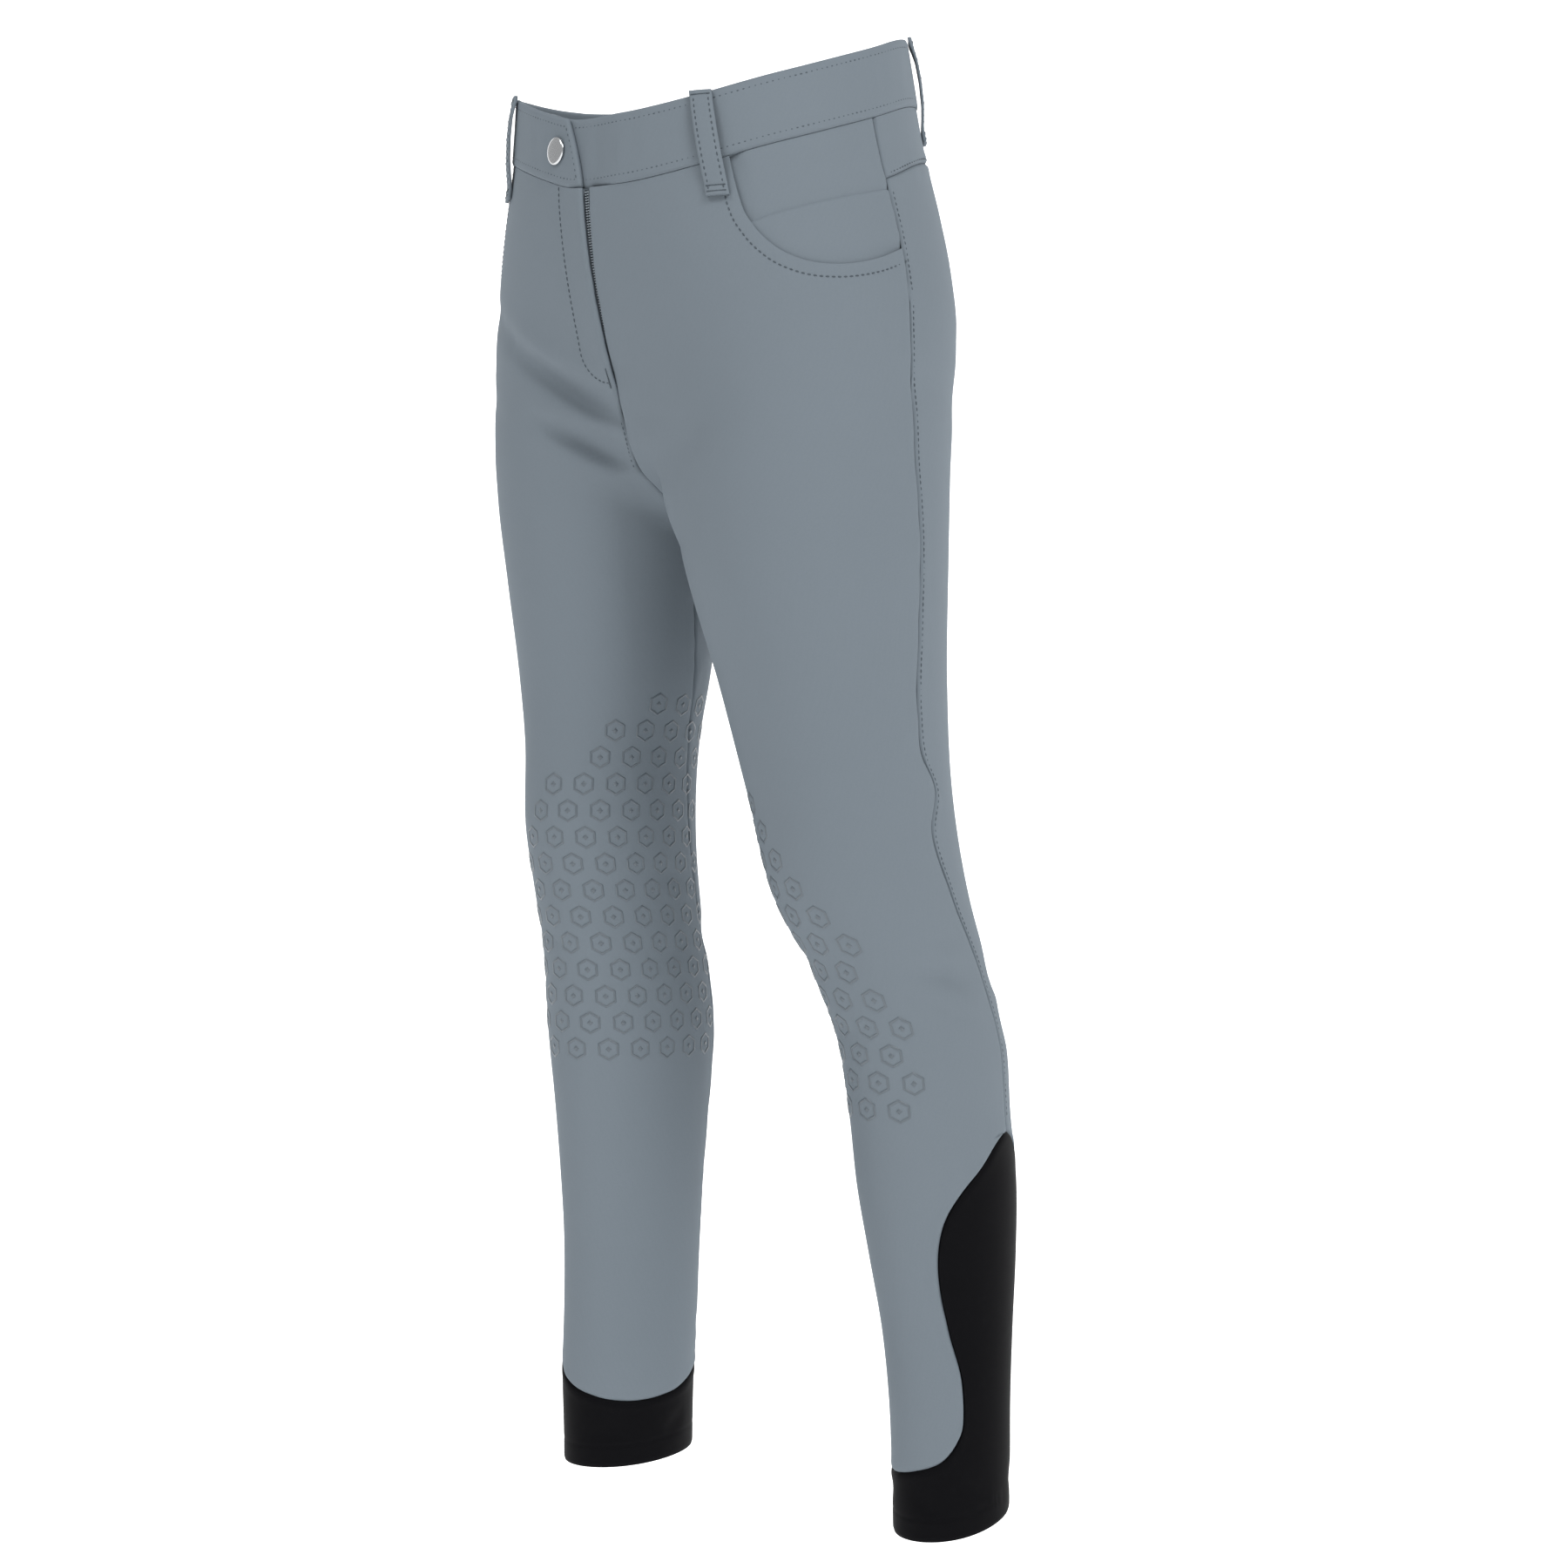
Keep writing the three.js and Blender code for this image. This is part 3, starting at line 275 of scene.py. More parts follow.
ANKLE_EDGE = {
    Leg.LEFT: rows_of(
        AnkleRow,
        (0.0, -150, -150, -824), (0.08, -108, -112, -848), (0.16, -62, -72, -863),
        (0.24, -18, -30, -868), (0.31, 26, 8, -864), (0.37, 62, 38, -855), (0.42, 86, 54, -838),
        (0.48, 98, 55, -808), (0.54, 107, 44, -776), (0.6, 114, 39, -740), (0.66, 122, 48, -708),
        (0.73, 136, 80, -680), (0.8, 152, 122, -659), (0.87, 170, 150, -684), (0.94, 190, 180, -748),
        (1.0, 210, 210, -824),
    ),
    Leg.RIGHT: rows_of(
        AnkleRow,
        (0.0, -150, -150, -824), (0.08, -108, -112, -834), (0.16, -62, -70, -839),
        (0.24, -18, -30, -838), (0.31, 26, 8, -830), (0.37, 60, 33, -818), (0.42, 82, 45, -800),
        (0.48, 96, 50, -774), (0.54, 104, 48, -748), (0.6, 110, 47, -724), (0.66, 118, 56, -702),
        (0.73, 130, 80, -680), (0.8, 142, 110, -660), (0.87, 164, 142, -684), (0.94, 188, 176, -748),
        (1.0, 210, 210, -824),
    ),
}

LOOP_PROFILE = rows_of(
    LoopRow,
    (-20.0, 0.4, 2.9), (-14.5, 0.4, 2.9), (-12.0, 0.9, 2.6), (-5.0, 2.4, 4.0), (4.0, 3.9, 5.5),
    (18.0, 4.6, 6.2), (30.0, 4.1, 5.7), (37.0, 2.6, 4.6), (39.5, 1.6, 4.3), (43.0, 1.6, 4.0),
)

LAMPS = rows_of(
    Lamp,
    ("key", 78, 1.6, 2.2, 1.0, 44),
    ("fill", -4, 1.9, 2.0, 0.9, 26),
    ("rim", 150, 0.3, 2.8, 2.0, 10),
    ("behind", -130, 0.6, 2.8, 2.4, 10),
)

HEMS = {Leg.LEFT: HemRow(-900, 7, 0), Leg.RIGHT: HemRow(-880, 3, 20)}

# The largest folds; the two on the right thigh are deeper and narrower than the solids have them
FOLDS = [
    Fold(Leg.RIGHT, 10, -162, -72, -234, 6.5, -9.6),
    Fold(Leg.RIGHT, -8, -212, -82, -260, 6, -10.6),
    Fold(Leg.RIGHT, 14, -146, -64, -214, 10, 3.8),
    Fold(Leg.RIGHT, -6, -200, -66, -234, 6.5, 3.8),
    Fold(Leg.LEFT, 20, -214, -62, -262, 14, -2.2),
    Fold(Leg.LEFT, 150, -318, 228, -284, 13, -3.0),
    Fold(Leg.RIGHT, 150, -322, 226, -286, 13, -3.0),
    Fold(Leg.LEFT, 38, -556, 112, -562, 8, -2.6),
    Fold(Leg.LEFT, 128, -560, 212, -566, 13, -3.4),
    Fold(Leg.LEFT, 132, -592, 208, -588, 12, -2.6),
    Fold(Leg.RIGHT, 20, -536, 78, -552, 10, -2.0),
    Fold(Leg.RIGHT, -128, -540, -176, -548, 12, -2.6),
    Fold(Leg.RIGHT, 140, -566, 206, -572, 12, -2.6),
]

# What only the scene has: the left thigh's swell by the crotch, 8.5 high, and soft, uneven creases
CREASES = [
    Fold(Leg.LEFT, 58, -548, 96, -570, 5, -1.2),
    Fold(Leg.LEFT, -60, -540, -6, -562, 7, -1.6),
    Fold(Leg.LEFT, -40, -590, 30, -600, 8, -1.3),
    Fold(Leg.RIGHT, 48, -126, -12, -176, 8, -2.4),
    Fold(Leg.RIGHT, 18, -534, -22, -556, 6, -1.4),
    Fold(Leg.RIGHT, -80, -498, -116, -506, 7, -1.2),
    Fold(Leg.LEFT, 46, -572, 92, -590, 6, -1.0),
    Fold(Leg.LEFT, 70, -534, 104, -540, 5, -0.8),
    Fold(Leg.LEFT, -20, -548, 28, -560, 7, -0.8),
    Fold(Leg.LEFT, 136, -576, 190, -579, 6, 1.2),
    Fold(Leg.LEFT, 150, -540, 200, -544, 7, -1.2),
    Fold(Leg.RIGHT, 40, -560, 84, -574, 6, -0.9),
    Fold(Leg.RIGHT, 28, -518, 66, -530, 6, -0.8),
    Fold(Leg.RIGHT, -60, -556, -110, -548, 8, -0.9),
    Fold(Leg.RIGHT, 146, -552, 196, -556, 7, -1.2),
    Fold(Leg.RIGHT, 150, -588, 200, -584, 6, -1.0),
    Fold(Leg.RIGHT, 70, -168, 10, -214, 8, -0.9),
    Fold(Leg.LEFT, -34, -216, -48, -300, 17, 8.5),
    Fold(Leg.LEFT, 160, -304, 214, -280, 8, 1.2),
    Fold(Leg.RIGHT, 160, -306, 214, -282, 8, 1.2),
    Fold(Leg.LEFT, 164, -338, 232, -302, 10, -1.4),
    Fold(Leg.RIGHT, 164, -340, 232, -304, 10, -1.4),
    Fold(Leg.LEFT, 4, -878, 46, -892, 6, -0.9),
    Fold(Leg.LEFT, 50, -868, 92, -884, 6, -1.1),
    Fold(Leg.LEFT, -70, -884, -20, -878, 6, -0.8),
    Fold(Leg.LEFT, 120, -872, 170, -880, 7, -1.0),
    Fold(Leg.RIGHT, -50, -856, -6, -864, 6, -0.8),
    Fold(Leg.RIGHT, -118, -852, -84, -862, 6, -0.9),
    Fold(Leg.RIGHT, 100, -852, 150, -860, 7, -0.9),
]


class Table:
    """A table read between its rows along a smooth curve (cubic Hermite) through every row."""

    def __init__(self, rows: Sequence[NamedTuple]) -> None:
        """Holds the rows by column.

        Args:
            rows: the rows, whose first column is the place they are read at, rising or falling.
        """
        self.names = rows[0]._fields[1:]
        data = np.array(rows, float)
        self.sign = 1.0 if data[-1, 0] > data[0, 0] else -1.0
        self.keys = data[:, 0] * self.sign
        self.values = data[:, 1:]
        steps = np.diff(self.keys)[:, None]
        slopes = np.diff(self.values, axis=0) / steps
        tangents = np.zeros_like(self.values)
        tangents[1:-1] = (slopes[:-1] * steps[1:] + slopes[1:] * steps[:-1]) / (steps[1:] + steps[:-1])
        tangents[0], tangents[-1] = slopes[0], slopes[-1]
        self.tangents = tangents

    def at(self, place: Array | float) -> dict[str, Array]:
        """Every column at a place.

        Args:
            place: where to read, in the unit of the first column.

        Returns:
            The columns by name, each in the shape of place.
        """
        where = np.clip(np.asarray(place, float) * self.sign, self.keys[0], self.keys[-1])
        row = np.clip(np.searchsorted(self.keys, where, side="right") - 1, 0, len(self.keys) - 2)
        width = self.keys[row + 1] - self.keys[row]
        u = ((where - self.keys[row]) / width)[..., None]
        width = width[..., None]
        rise = (3 - 2 * u) * u * u
        value = self.values[row] + (self.values[row + 1] - self.values[row]) * rise
        value = value + u * (1 - u) ** 2 * width * self.tangents[row]
        value = value - u * u * (1 - u) * width * self.tangents[row + 1]
        return {name: value[..., k] for k, name in enumerate(self.names)}


def mix(a: Array | float, b: Array | float, share: Array | float) -> Array | float:
    """The value a share of the way from a to b."""
    return a + (b - a) * share


def by_leg(tables: dict[Leg, list]) -> dict[Leg, Table]:
    """Each leg's rows as a table."""
    return {leg: Table(rows) for leg, rows in tables.items()}


@dataclass
class Form:
    """The worn form that every piece of cloth lies on.

    Attributes:
        thigh_blend: how far the two thighs run into each other where they meet.
        torso_blend: how far the torso runs into the thighs.
        farthest: how far a line out of a section's middle is followed.
        middle_gap: how close a leg's lines come to the middle.
    """

    thigh_blend: float = 34.0
    torso_blend: float = 46.0
    farthest: float = 260.0
    middle_gap: float = 0.1
    torso: Table = field(default_factory=lambda: Table(TORSO))
    legs: dict[Leg, Table] = field(default_factory=lambda: by_leg(LEGS))
    outseam: dict[Leg, Table] = field(default_factory=lambda: by_leg(OUTSEAM))
    inseam: Table = field(default_factory=lambda: Table(INSEAM))
    ankle: dict[Leg, Table] = field(default_factory=lambda: by_leg(ANKLE_EDGE))
    waist: Table = field(default_factory=lambda: Table(WAIST))
    yoke: Table = field(default_factory=lambda: Table(YOKE_SEAM))
    scoop: Table = field(default_factory=lambda: Table(SCOOP))
    coin: Table = field(default_factory=lambda: Table(COIN_MOUTH))

    @staticmethod
    def oval(dx: Array, dy: Array, half: Array, deep: Array, power: Array | float) -> Array:
        """Signed distance from an oval: ((|dx/half|^p + |dy/deep|^p)^(1/p) - 1) times its lesser radius."""
        ratio = (np.abs(dx / half) ** power + np.abs(dy / deep) ** power) ** (1 / power)
        return (ratio - 1) * np.minimum(half, deep)

    @staticmethod
    def smooth_minimum(a: Array, b: Array, width: float) -> Array:
        """The smaller distance, rounded where two meet: min(a, b) - h^3 w/6, h = max(w - |a - b|, 0)/w."""
        near = np.maximum(width - np.abs(a - b), 0) / width
        return np.minimum(a, b) - near**3 * width / 6

    def sections(self, z: Array) -> tuple[dict, dict, dict]:
        """The torso, left and right sections at a height."""
        return self.torso.at(z), self.legs[Leg.LEFT].at(z), self.legs[Leg.RIGHT].at(z)

    def distance(self, sections: tuple[dict, dict, dict], x: Array, y: Array) -> Array:
        """Signed distance of places from the form, negative inside.

        Args:
            sections: the sections at the places' heights.
            x: places across.
            y: places back.

        Returns:
            The distance in millimetres.
        """
        torso, left, right = sections
        deep = np.where(y < 0, torso["front"], torso["back"])
        least = 4.0
        trunk = self.oval(x, y, np.maximum(torso["half"], least), np.maximum(deep, least), torso["power"])
        trunk = trunk + np.maximum(least - deep, 0) * 2
        left_leg = self.oval(x - left["out"], y - left["back"], left["half"], left["deep"], 2.0)
        right_leg = self.oval(x + right["out"], y - right["back"], right["half"], right["deep"], 2.0)
        thighs = self.smooth_minimum(left_leg, right_leg, self.thigh_blend)
        return self.smooth_minimum(thighs, trunk, self.torso_blend)

    @staticmethod
    def reach(distance_at: Callable[[Array], Array], limit: Array) -> Array:
        """Where a line leaves the form, by halving the stretch between a place inside and one outside.

        Args:
            distance_at: signed distance of the places so far along each line.
            limit: how far each line is followed.

        Returns:
            How far along each line the form ends.
        """
        inside, outside = np.zeros_like(limit), limit.copy()
        for _ in range(32):
            middle = (inside + outside) / 2
            within = distance_at(middle) < 0
            inside, outside = np.where(within, middle, inside), np.where(within, outside, middle)
        return (inside + outside) / 2

    def relief(self, leg: Leg, angle: Array, z: Array) -> Array:
        """The folds' height over the smooth form: depth sin(pi s) exp(-(off/width)^2) along each fold's line.

        Args:
            leg: which leg.
            angle: degrees round the leg.
            z: heights in millimetres.

        Returns:
            The height at each place, negative in a trough.
        """
        mm_per_degree = 1.4
        height = np.zeros(np.broadcast(angle, z).shape)
        for fold in FOLDS + CREASES:
            if fold.leg is not leg:
                continue
            across, up = (fold.to_angle - fold.angle) * mm_per_degree, fold.to_z - fold.z
            for turn in (-360, 0, 360):
                dx, dz = (angle + turn - fold.angle) * mm_per_degree, z - fold.z
                share = np.clip((dx * across + dz * up) / (across**2 + up**2), 0, 1)
                off = np.hypot(dx - share * across, dz - share * up)
                fade = np.sin(np.pi * np.clip(share, 0.04, 0.96))
                height = height + fold.depth * fade * np.exp(-((off / fold.width) ** 2))
        return height

    def leg_point(self, leg: Leg, angle: Array, z: Array) -> Array:
        """Places on a leg's form.

        Args:
            leg: which leg.
            angle: degrees round the leg from its front.
            z: heights in millimetres.

        Returns:
            Points with a last axis of three.
        """
        angle, z = np.broadcast_arrays(np.asarray(angle, float), np.asarray(z, float))
        sections = self.sections(z)
        row = sections[1] if leg is Leg.LEFT else sections[2]
        x0, y0 = leg.value * row["out"], row["back"]
        turn = np.radians(angle)
        ux, uy = leg.value * np.sin(turn), -np.cos(turn)
        inward = leg.value * ux < -1e-9
        across = (np.abs(x0) - self.middle_gap) / np.maximum(np.abs(ux), 1e-9)
        limit = np.where(inward, np.minimum(across, self.farthest), self.farthest)
        radius = self.reach(lambda r: self.distance(sections, x0 + r * ux, y0 + r * uy), limit)
        radius = radius + self.relief(leg, angle, z)
        return np.stack([x0 + radius * ux, y0 + radius * uy, z], -1)

    def torso_point(self, bearing: Array, z: Array) -> Array:
        """Places on the torso's form at a bearing and height.

        Args:
            bearing: degrees from the front, positive to the wearer's left.
            z: heights in millimetres.

        Returns:
            Points with a last axis of three.
        """
        bearing, z = np.broadcast_arrays(np.asarray(bearing, float), np.asarray(z, float))
        sections = self.sections(z)
        turn = np.radians(bearing)
        ux, uy = np.sin(turn), -np.cos(turn)
        limit = np.full(z.shape, self.farthest)
        radius = self.reach(lambda r: self.distance(sections, r * ux, r * uy), limit)
        return np.stack([radius * ux, radius * uy, z], -1)

    def normals(self, points: Array) -> Array:
        """Outward normals of the smooth form, from the slope of its distance.

        Args:
            points: places on the form.

        Returns:
            Unit normals in the points' shape.
        """
        step = 0.5
        slopes = []
        for axis in np.eye(3) * step:
            ahead, behind = points + axis, points - axis
            rise = self.distance(self.sections(ahead[..., 2]), ahead[..., 0], ahead[..., 1])
            fall = self.distance(self.sections(behind[..., 2]), behind[..., 0], behind[..., 1])
            slopes.append(rise - fall)
        away = np.stack(slopes, -1)
        return away / np.linalg.norm(away, axis=-1, keepdims=True)

    def raised(self, points: Array, height: Array | float) -> tuple[Array, Array]:
        """Places raised off the form by a height, and their normals."""
        normals = self.normals(points)
        return points + normals * np.broadcast_to(height, points.shape[:-1])[..., None], normals

    def leg_angle(self, leg: Leg, point: Array, back: bool) -> Array:
        """The angle on a leg at which places stand, running past 180 for those behind.

        Args:
            leg: which leg.
            point: places on or near the leg.
            back: whether angles below nought are told past 180.

        Returns:
            Degrees round the leg from its front.
        """
        row = self.legs[leg].at(point[..., 2])
        angle = np.degrees(np.arctan2(leg.value * point[..., 0] - row["out"], -(point[..., 1] - row["back"])))
        return np.where(back & (angle < 0), angle + 360, angle)

    def waist_top(self, bearing: Array) -> Array:
        """The waistband's top edge at bearings of any turn."""
        return self.waist.at((np.asarray(bearing, float) + 180) % 360 - 180)["top"]

    def bearing_of(self, leg: Leg, angle: Array, z: Array) -> Array:
        """The bearing, positive on this leg's side, of a place on the leg."""
        point = self.leg_point(leg, angle, z)
        return np.degrees(np.arctan2(leg.value * point[..., 0], -point[..., 1]))

    def per_mm(self, leg: Leg, z: Array) -> Array:
        """Degrees of angle on a leg for a millimetre along the cloth."""
        row = self.legs[leg].at(z)
        return np.degrees(2 / (row["half"] + row["deep"]))

    def centre_point(self, offset: Array | float, tilt: Array) -> Array:
        """Places on the centre seam, on a plane a little off the middle, by their tilt about a pivot.

        Args:
            offset: the plane's distance off the middle.
            tilt: degrees over the level, 0 to the front and 180 to the back.

        Returns:
            Points with a last axis of three.
        """
        pivot = -100.0
        tilt = np.asarray(tilt, float)
        offset = np.broadcast_to(np.asarray(offset, float), tilt.shape)
        uy, uz = -np.cos(np.radians(tilt)), np.sin(np.radians(tilt))

        def distance_at(r: Array) -> Array:
            """The form's distance so far along each tilted line."""
            return self.distance(self.sections(pivot + r * uz), offset, r * uy)

        length = self.reach(distance_at, np.full(tilt.shape, self.farthest))
        return np.stack([offset, length * uy, pivot + length * uz], -1)

    def tilt_at(self, z: float, back: bool) -> float:
        """The tilt at which the centre seam stands at a height.

        Args:
            z: the height in millimetres.
            back: whether it is the back's part of the seam.

        Returns:
            Degrees of tilt.
        """
        low, high = -90.0, 60.0
        for _ in range(24):
            middle = (low + high) / 2
            if self.centre_point(0.0, np.array(180 - middle if back else middle))[2] < z:
                low = middle
            else:
                high = middle
        tilt = (low + high) / 2
        return 180 - tilt if back else tilt


def level_at(drop: float) -> DropLine:
    """A line at the same drop below the waistband all along."""
    return lambda bearing: np.full(np.shape(bearing), drop)


def fly_stand(x: Array, z: Array) -> Array:
    """How far the right front stands off beside the fly: proud exp(-(x / spread)^2), fading past its end."""
    spread, tail, fade = 14, 30, 40
    return FLY_PROUD * np.clip((z - FLY_BOTTOM + tail) / fade, 0, 1) * np.exp(-((x / spread) ** 2))


# Colours and materials


def linear(code: str) -> tuple[float, float, float, float]:
    """An sRGB hex colour as linear RGBA: ((c + 0.055) / 1.055)^2.4 above 0.04045."""
    parts = [int(code[k : k + 2], 16) / 255 for k in (1, 3, 5)]
    return (*[p / 12.92 if p <= 0.04045 else ((p + 0.055) / 1.055) ** 2.4 for p in parts], 1.0)


def put(tree: bpy.types.NodeTree, kind: str, links: dict | None = None, **settings: object) -> bpy.types.Node:
    """Adds a shader node with its settings and links.

    Args:
        tree: the material's node tree.
        kind: the node's type.
        links: input name or number to the socket that feeds it, or to a plain value.
        settings: attributes of the node itself.

    Returns:
        The new node.
    """
    node = tree.nodes.new(kind)
    for name, value in settings.items():
        setattr(node, name, value)
    for name, source in (links or {}).items():
        if isinstance(source, bpy.types.NodeSocket):
            tree.links.new(source, node.inputs[name])
        else:
            node.inputs[name].default_value = source
    return node


@dataclass(frozen=True)
class ClothFinish:
    """Warp-knit stretch cloth with a brushed face: a matt grey with a fine close grain and a soft sheen.

    Attributes:
        name: the material's name.
        colour: the dyed cloth.
        dark: the same cloth in the grain's hollows.
        grain_mm: size of the knit's ribs.
        rough: how matt the face is.
        sheen: the light that the brushed fibres catch at the edge.
        relief_mm: depth of the grain.
        shine: how strongly the fibres' faces reflect.
    """

    name: str
    colour: str
    dark: str
    grain_mm: float = 0.62
    rough: float = 0.82
    sheen: float = 0.2
    relief_mm: float = 0.05
    shine: float = 0.25

    def build(self) -> bpy.types.Material:
        """Makes the material, which reads the cloth's own length in metres from its UV map.

        Returns:
            The material.
        """
        material = bpy.data.materials.new(self.name)
        material.use_nodes = True
        tree = material.node_tree
        tree.nodes.clear()
        place = put(tree, "ShaderNodeUVMap", uv_map="cloth").outputs["UV"]
        spot = put(tree, "ShaderNodeTexCoord").outputs["Object"]
        # the knit's fine diagonal ribs, seen as a close grain from near by
        rib_size = 1.0 / (self.grain_mm * MM)
        turned = put(tree, "ShaderNodeMapping", {"Vector": place, "Rotation": (0, 0, 0.5)}).outputs["Vector"]
        ribs = put(
            tree,
            "ShaderNodeTexWave",
            {"Vector": turned, "Scale": rib_size / 20, "Distortion": 1.2, "Detail": 2.0, "Detail Scale": 2.0},
        ).outputs["Fac"]
        fuzz = put(tree, "ShaderNodeTexNoise", {"Vector": spot, "Scale": 900.0, "Detail": 4.0}).outputs["Fac"]
        # slow patches where the cloth has been pressed or stretched a little more
        wide = {"Vector": spot, "Scale": 9.0, "Detail": 3.0}
        patches = put(tree, "ShaderNodeTexNoise", wide).outputs["Fac"]
        grain = put(tree, "ShaderNodeMix", {"Factor": 0.92, "A": ribs, "B": fuzz}).outputs["Result"]
        blend = put(tree, "ShaderNodeMath", {0: grain, 1: 0.45}, operation="MULTIPLY").outputs[0]
        mixed = {0: patches, 1: 0.35, 2: blend}
        blend = put(tree, "ShaderNodeMath", mixed, operation="MULTIPLY_ADD").outputs[0]
        tone = put(
            tree,
            "ShaderNodeMix",
            {"Factor": blend, 6: linear(self.dark), 7: linear(self.colour)},
            data_type="RGBA",
        ).outputs[2]
        bump = put(
            tree, "ShaderNodeBump", {"Height": grain, "Distance": self.relief_mm * MM, "Strength": 0.6}
        ).outputs["Normal"]
        shader = put(
            tree,
            "ShaderNodeBsdfPrincipled",
            {
                "Base Color": tone,
                "Roughness": self.rough,
                "IOR": 1.45,
                "Normal": bump,
                "Specular IOR Level": self.shine,
                "Sheen Weight": self.sheen,
                "Sheen Roughness": 0.5,
                "Sheen Tint": linear(self.colour),
            },
        ).outputs["BSDF"]
        put(tree, "ShaderNodeOutputMaterial", {"Surface": shader})
        return material


@dataclass(frozen=True)
class PlainFinish:
    """A plain even finish: thread, silicone, metal, zip teeth or the pale studio floor.

    Attributes:
        name: the material's name.
        colour: its colour.
        rough: how matt it is.
        metallic: one for bare metal.
        coat: a clear coat over it.
        speck_mm: size of its faint unevenness.
        uneven: how much the roughness varies.
        glow: light that it gives by itself, as a lit sweep does.
    """

    name: str
    colour: str
    rough: float
    metallic: float = 0.0
    coat: float = 0.0
    speck_mm: float = 2.0
    uneven: float = 0.08
    glow: float = 0.0

    def build(self) -> bpy.types.Material:
        """Makes the material, whose roughness varies a little over the piece.

        Returns:
            The material.
        """
        material = bpy.data.materials.new(self.name)
        material.use_nodes = True
        tree = material.node_tree
        tree.nodes.clear()
        spot = put(tree, "ShaderNodeTexCoord").outputs["Object"]
        close = {"Vector": spot, "Scale": 1 / (self.speck_mm * MM)}
        speck = put(tree, "ShaderNodeTexNoise", close).outputs["Fac"]
        rough = put(
            tree,
            "ShaderNodeMapRange",
            {"Value": speck, "To Min": self.rough - self.uneven, "To Max": self.rough + self.uneven},
        ).outputs["Result"]
        shader = put(
            tree,
            "ShaderNodeBsdfPrincipled",
            {
                "Base Color": linear(self.colour),
                "Roughness": rough,
                "Metallic": self.metallic,
                "Coat Weight": self.coat,
                "Emission Color": (1.0, 1.0, 1.0, 1.0),
                "Emission Strength": self.glow,
                "Coat Roughness": 0.2,
            },
        ).outputs["BSDF"]
        put(tree, "ShaderNodeOutputMaterial", {"Surface": shader})
        return material


class Finish(Enum):
    """Every finish on the breeches and round them."""

    # dyed polyamide knit with a brushed face: soft even grey-blue that darkens towards the seams
    CLOTH = ClothFinish("stretch cloth", "#6f7880", "#666f76")
    # the same knit turned inside, seen in the pocket and at the waist
    LINING = ClothFinish("inside of the cloth", "#6b737b", "#60676e", rough=0.88, sheen=0.1)
    # smooth fine elastane knit for inside a boot: near black with a low sheen
    ANKLE = ClothFinish(
        "smooth ankle cloth",
        "#0c0c0f",
        "#09090b",
        grain_mm=0.35,
        rough=0.6,
        sheen=0.0,
        relief_mm=0.02,
        shine=0.05,
    )
    # corespun polyester thread sunk in the cloth: small dashes coloured darker than the cloth round them, as
    # painted shade of the holes and grooves that the thread sinks into
    THREAD = PlainFinish("thread darkened as painted shade", "#3d464d", 0.7)
    # printed silicone in the cloth's own colour: glossier and a little darker than the cloth under it
    GRIP = PlainFinish("printed silicone", "#545d64", 0.4, coat=0.1)
    # cast zinc cap with a bright satin nickel plate
    METAL = PlainFinish("nickel plated cap", "#c6c8ca", 0.22, metallic=1.0, speck_mm=4.0, uneven=0.05)
    # woven polyester tape
    TAPE = ClothFinish("woven zip tape", "#5d666d", "#4c545a", grain_mm=0.8, rough=0.8, sheen=0.1)
    # moulded coil of the zip
    TEETH = PlainFinish("zip coil", "#8a939a", 0.4)
    # pale painted studio floor
    FLOOR = PlainFinish("studio floor", "#f8f8f8", 0.9, glow=0.62)


class Palette:
    """Builds each finish once."""

    def __init__(self) -> None:
        """Starts with no material made."""
        self.made: dict[Finish, bpy.types.Material] = {}

    def get(self, finish: Finish) -> bpy.types.Material:
        """The material of a finish.

        Args:
            finish: the finish that is wanted.

        Returns:
            The material, made at the first asking.
        """
        if finish not in self.made:
            self.made[finish] = finish.value.build()
        return self.made[finish]


# Meshes


def make_mesh(name: str, points: Array, quads: Array, uv: Array | None = None) -> bpy.types.Object:
    """Makes a smooth object from points in millimetres.

    Args:
        name: the object's name.
        points: vertices, in millimetres.
        quads: faces of four vertices.
        uv: a flat place in metres for each vertex.

    Returns:
        The object, linked to the scene.
    """
    mesh = bpy.data.meshes.new(name)
    mesh.vertices.add(len(points))
    mesh.vertices.foreach_set("co", (points * MM).astype(np.float32).ravel())
    mesh.loops.add(quads.size)
    mesh.loops.foreach_set("vertex_index", quads.astype(np.int32).ravel())
    mesh.polygons.add(len(quads))
    mesh.polygons.foreach_set("loop_start", np.arange(0, quads.size, 4, dtype=np.int32))
    mesh.polygons.foreach_set("use_smooth", np.ones(len(quads), bool))
    mesh.update(calc_edges=True)
    if uv is not None:
        layer = mesh.uv_layers.new(name="cloth")
        layer.data.foreach_set("uv", uv[quads.ravel()].astype(np.float32).ravel())
    mesh.validate()
    piece = bpy.data.objects.new(name, mesh)
    bpy.context.scene.collection.objects.link(piece)
    return piece


def spans(grid: Array, axis: int) -> Array:
    """Length along a grid's lines from their first point, in the grid's shape.

    Args:
        grid: points in rows and columns.
        axis: 0 for the lengths up the columns, 1 for those along the rows.

    Returns:
        Millimetres at each point.
    """
    steps = np.linalg.norm(np.diff(grid, axis=axis), axis=-1)
    start = np.zeros_like(np.take(steps, [0], axis=axis))
    return np.concatenate([start, np.cumsum(steps, axis=axis)], axis=axis)


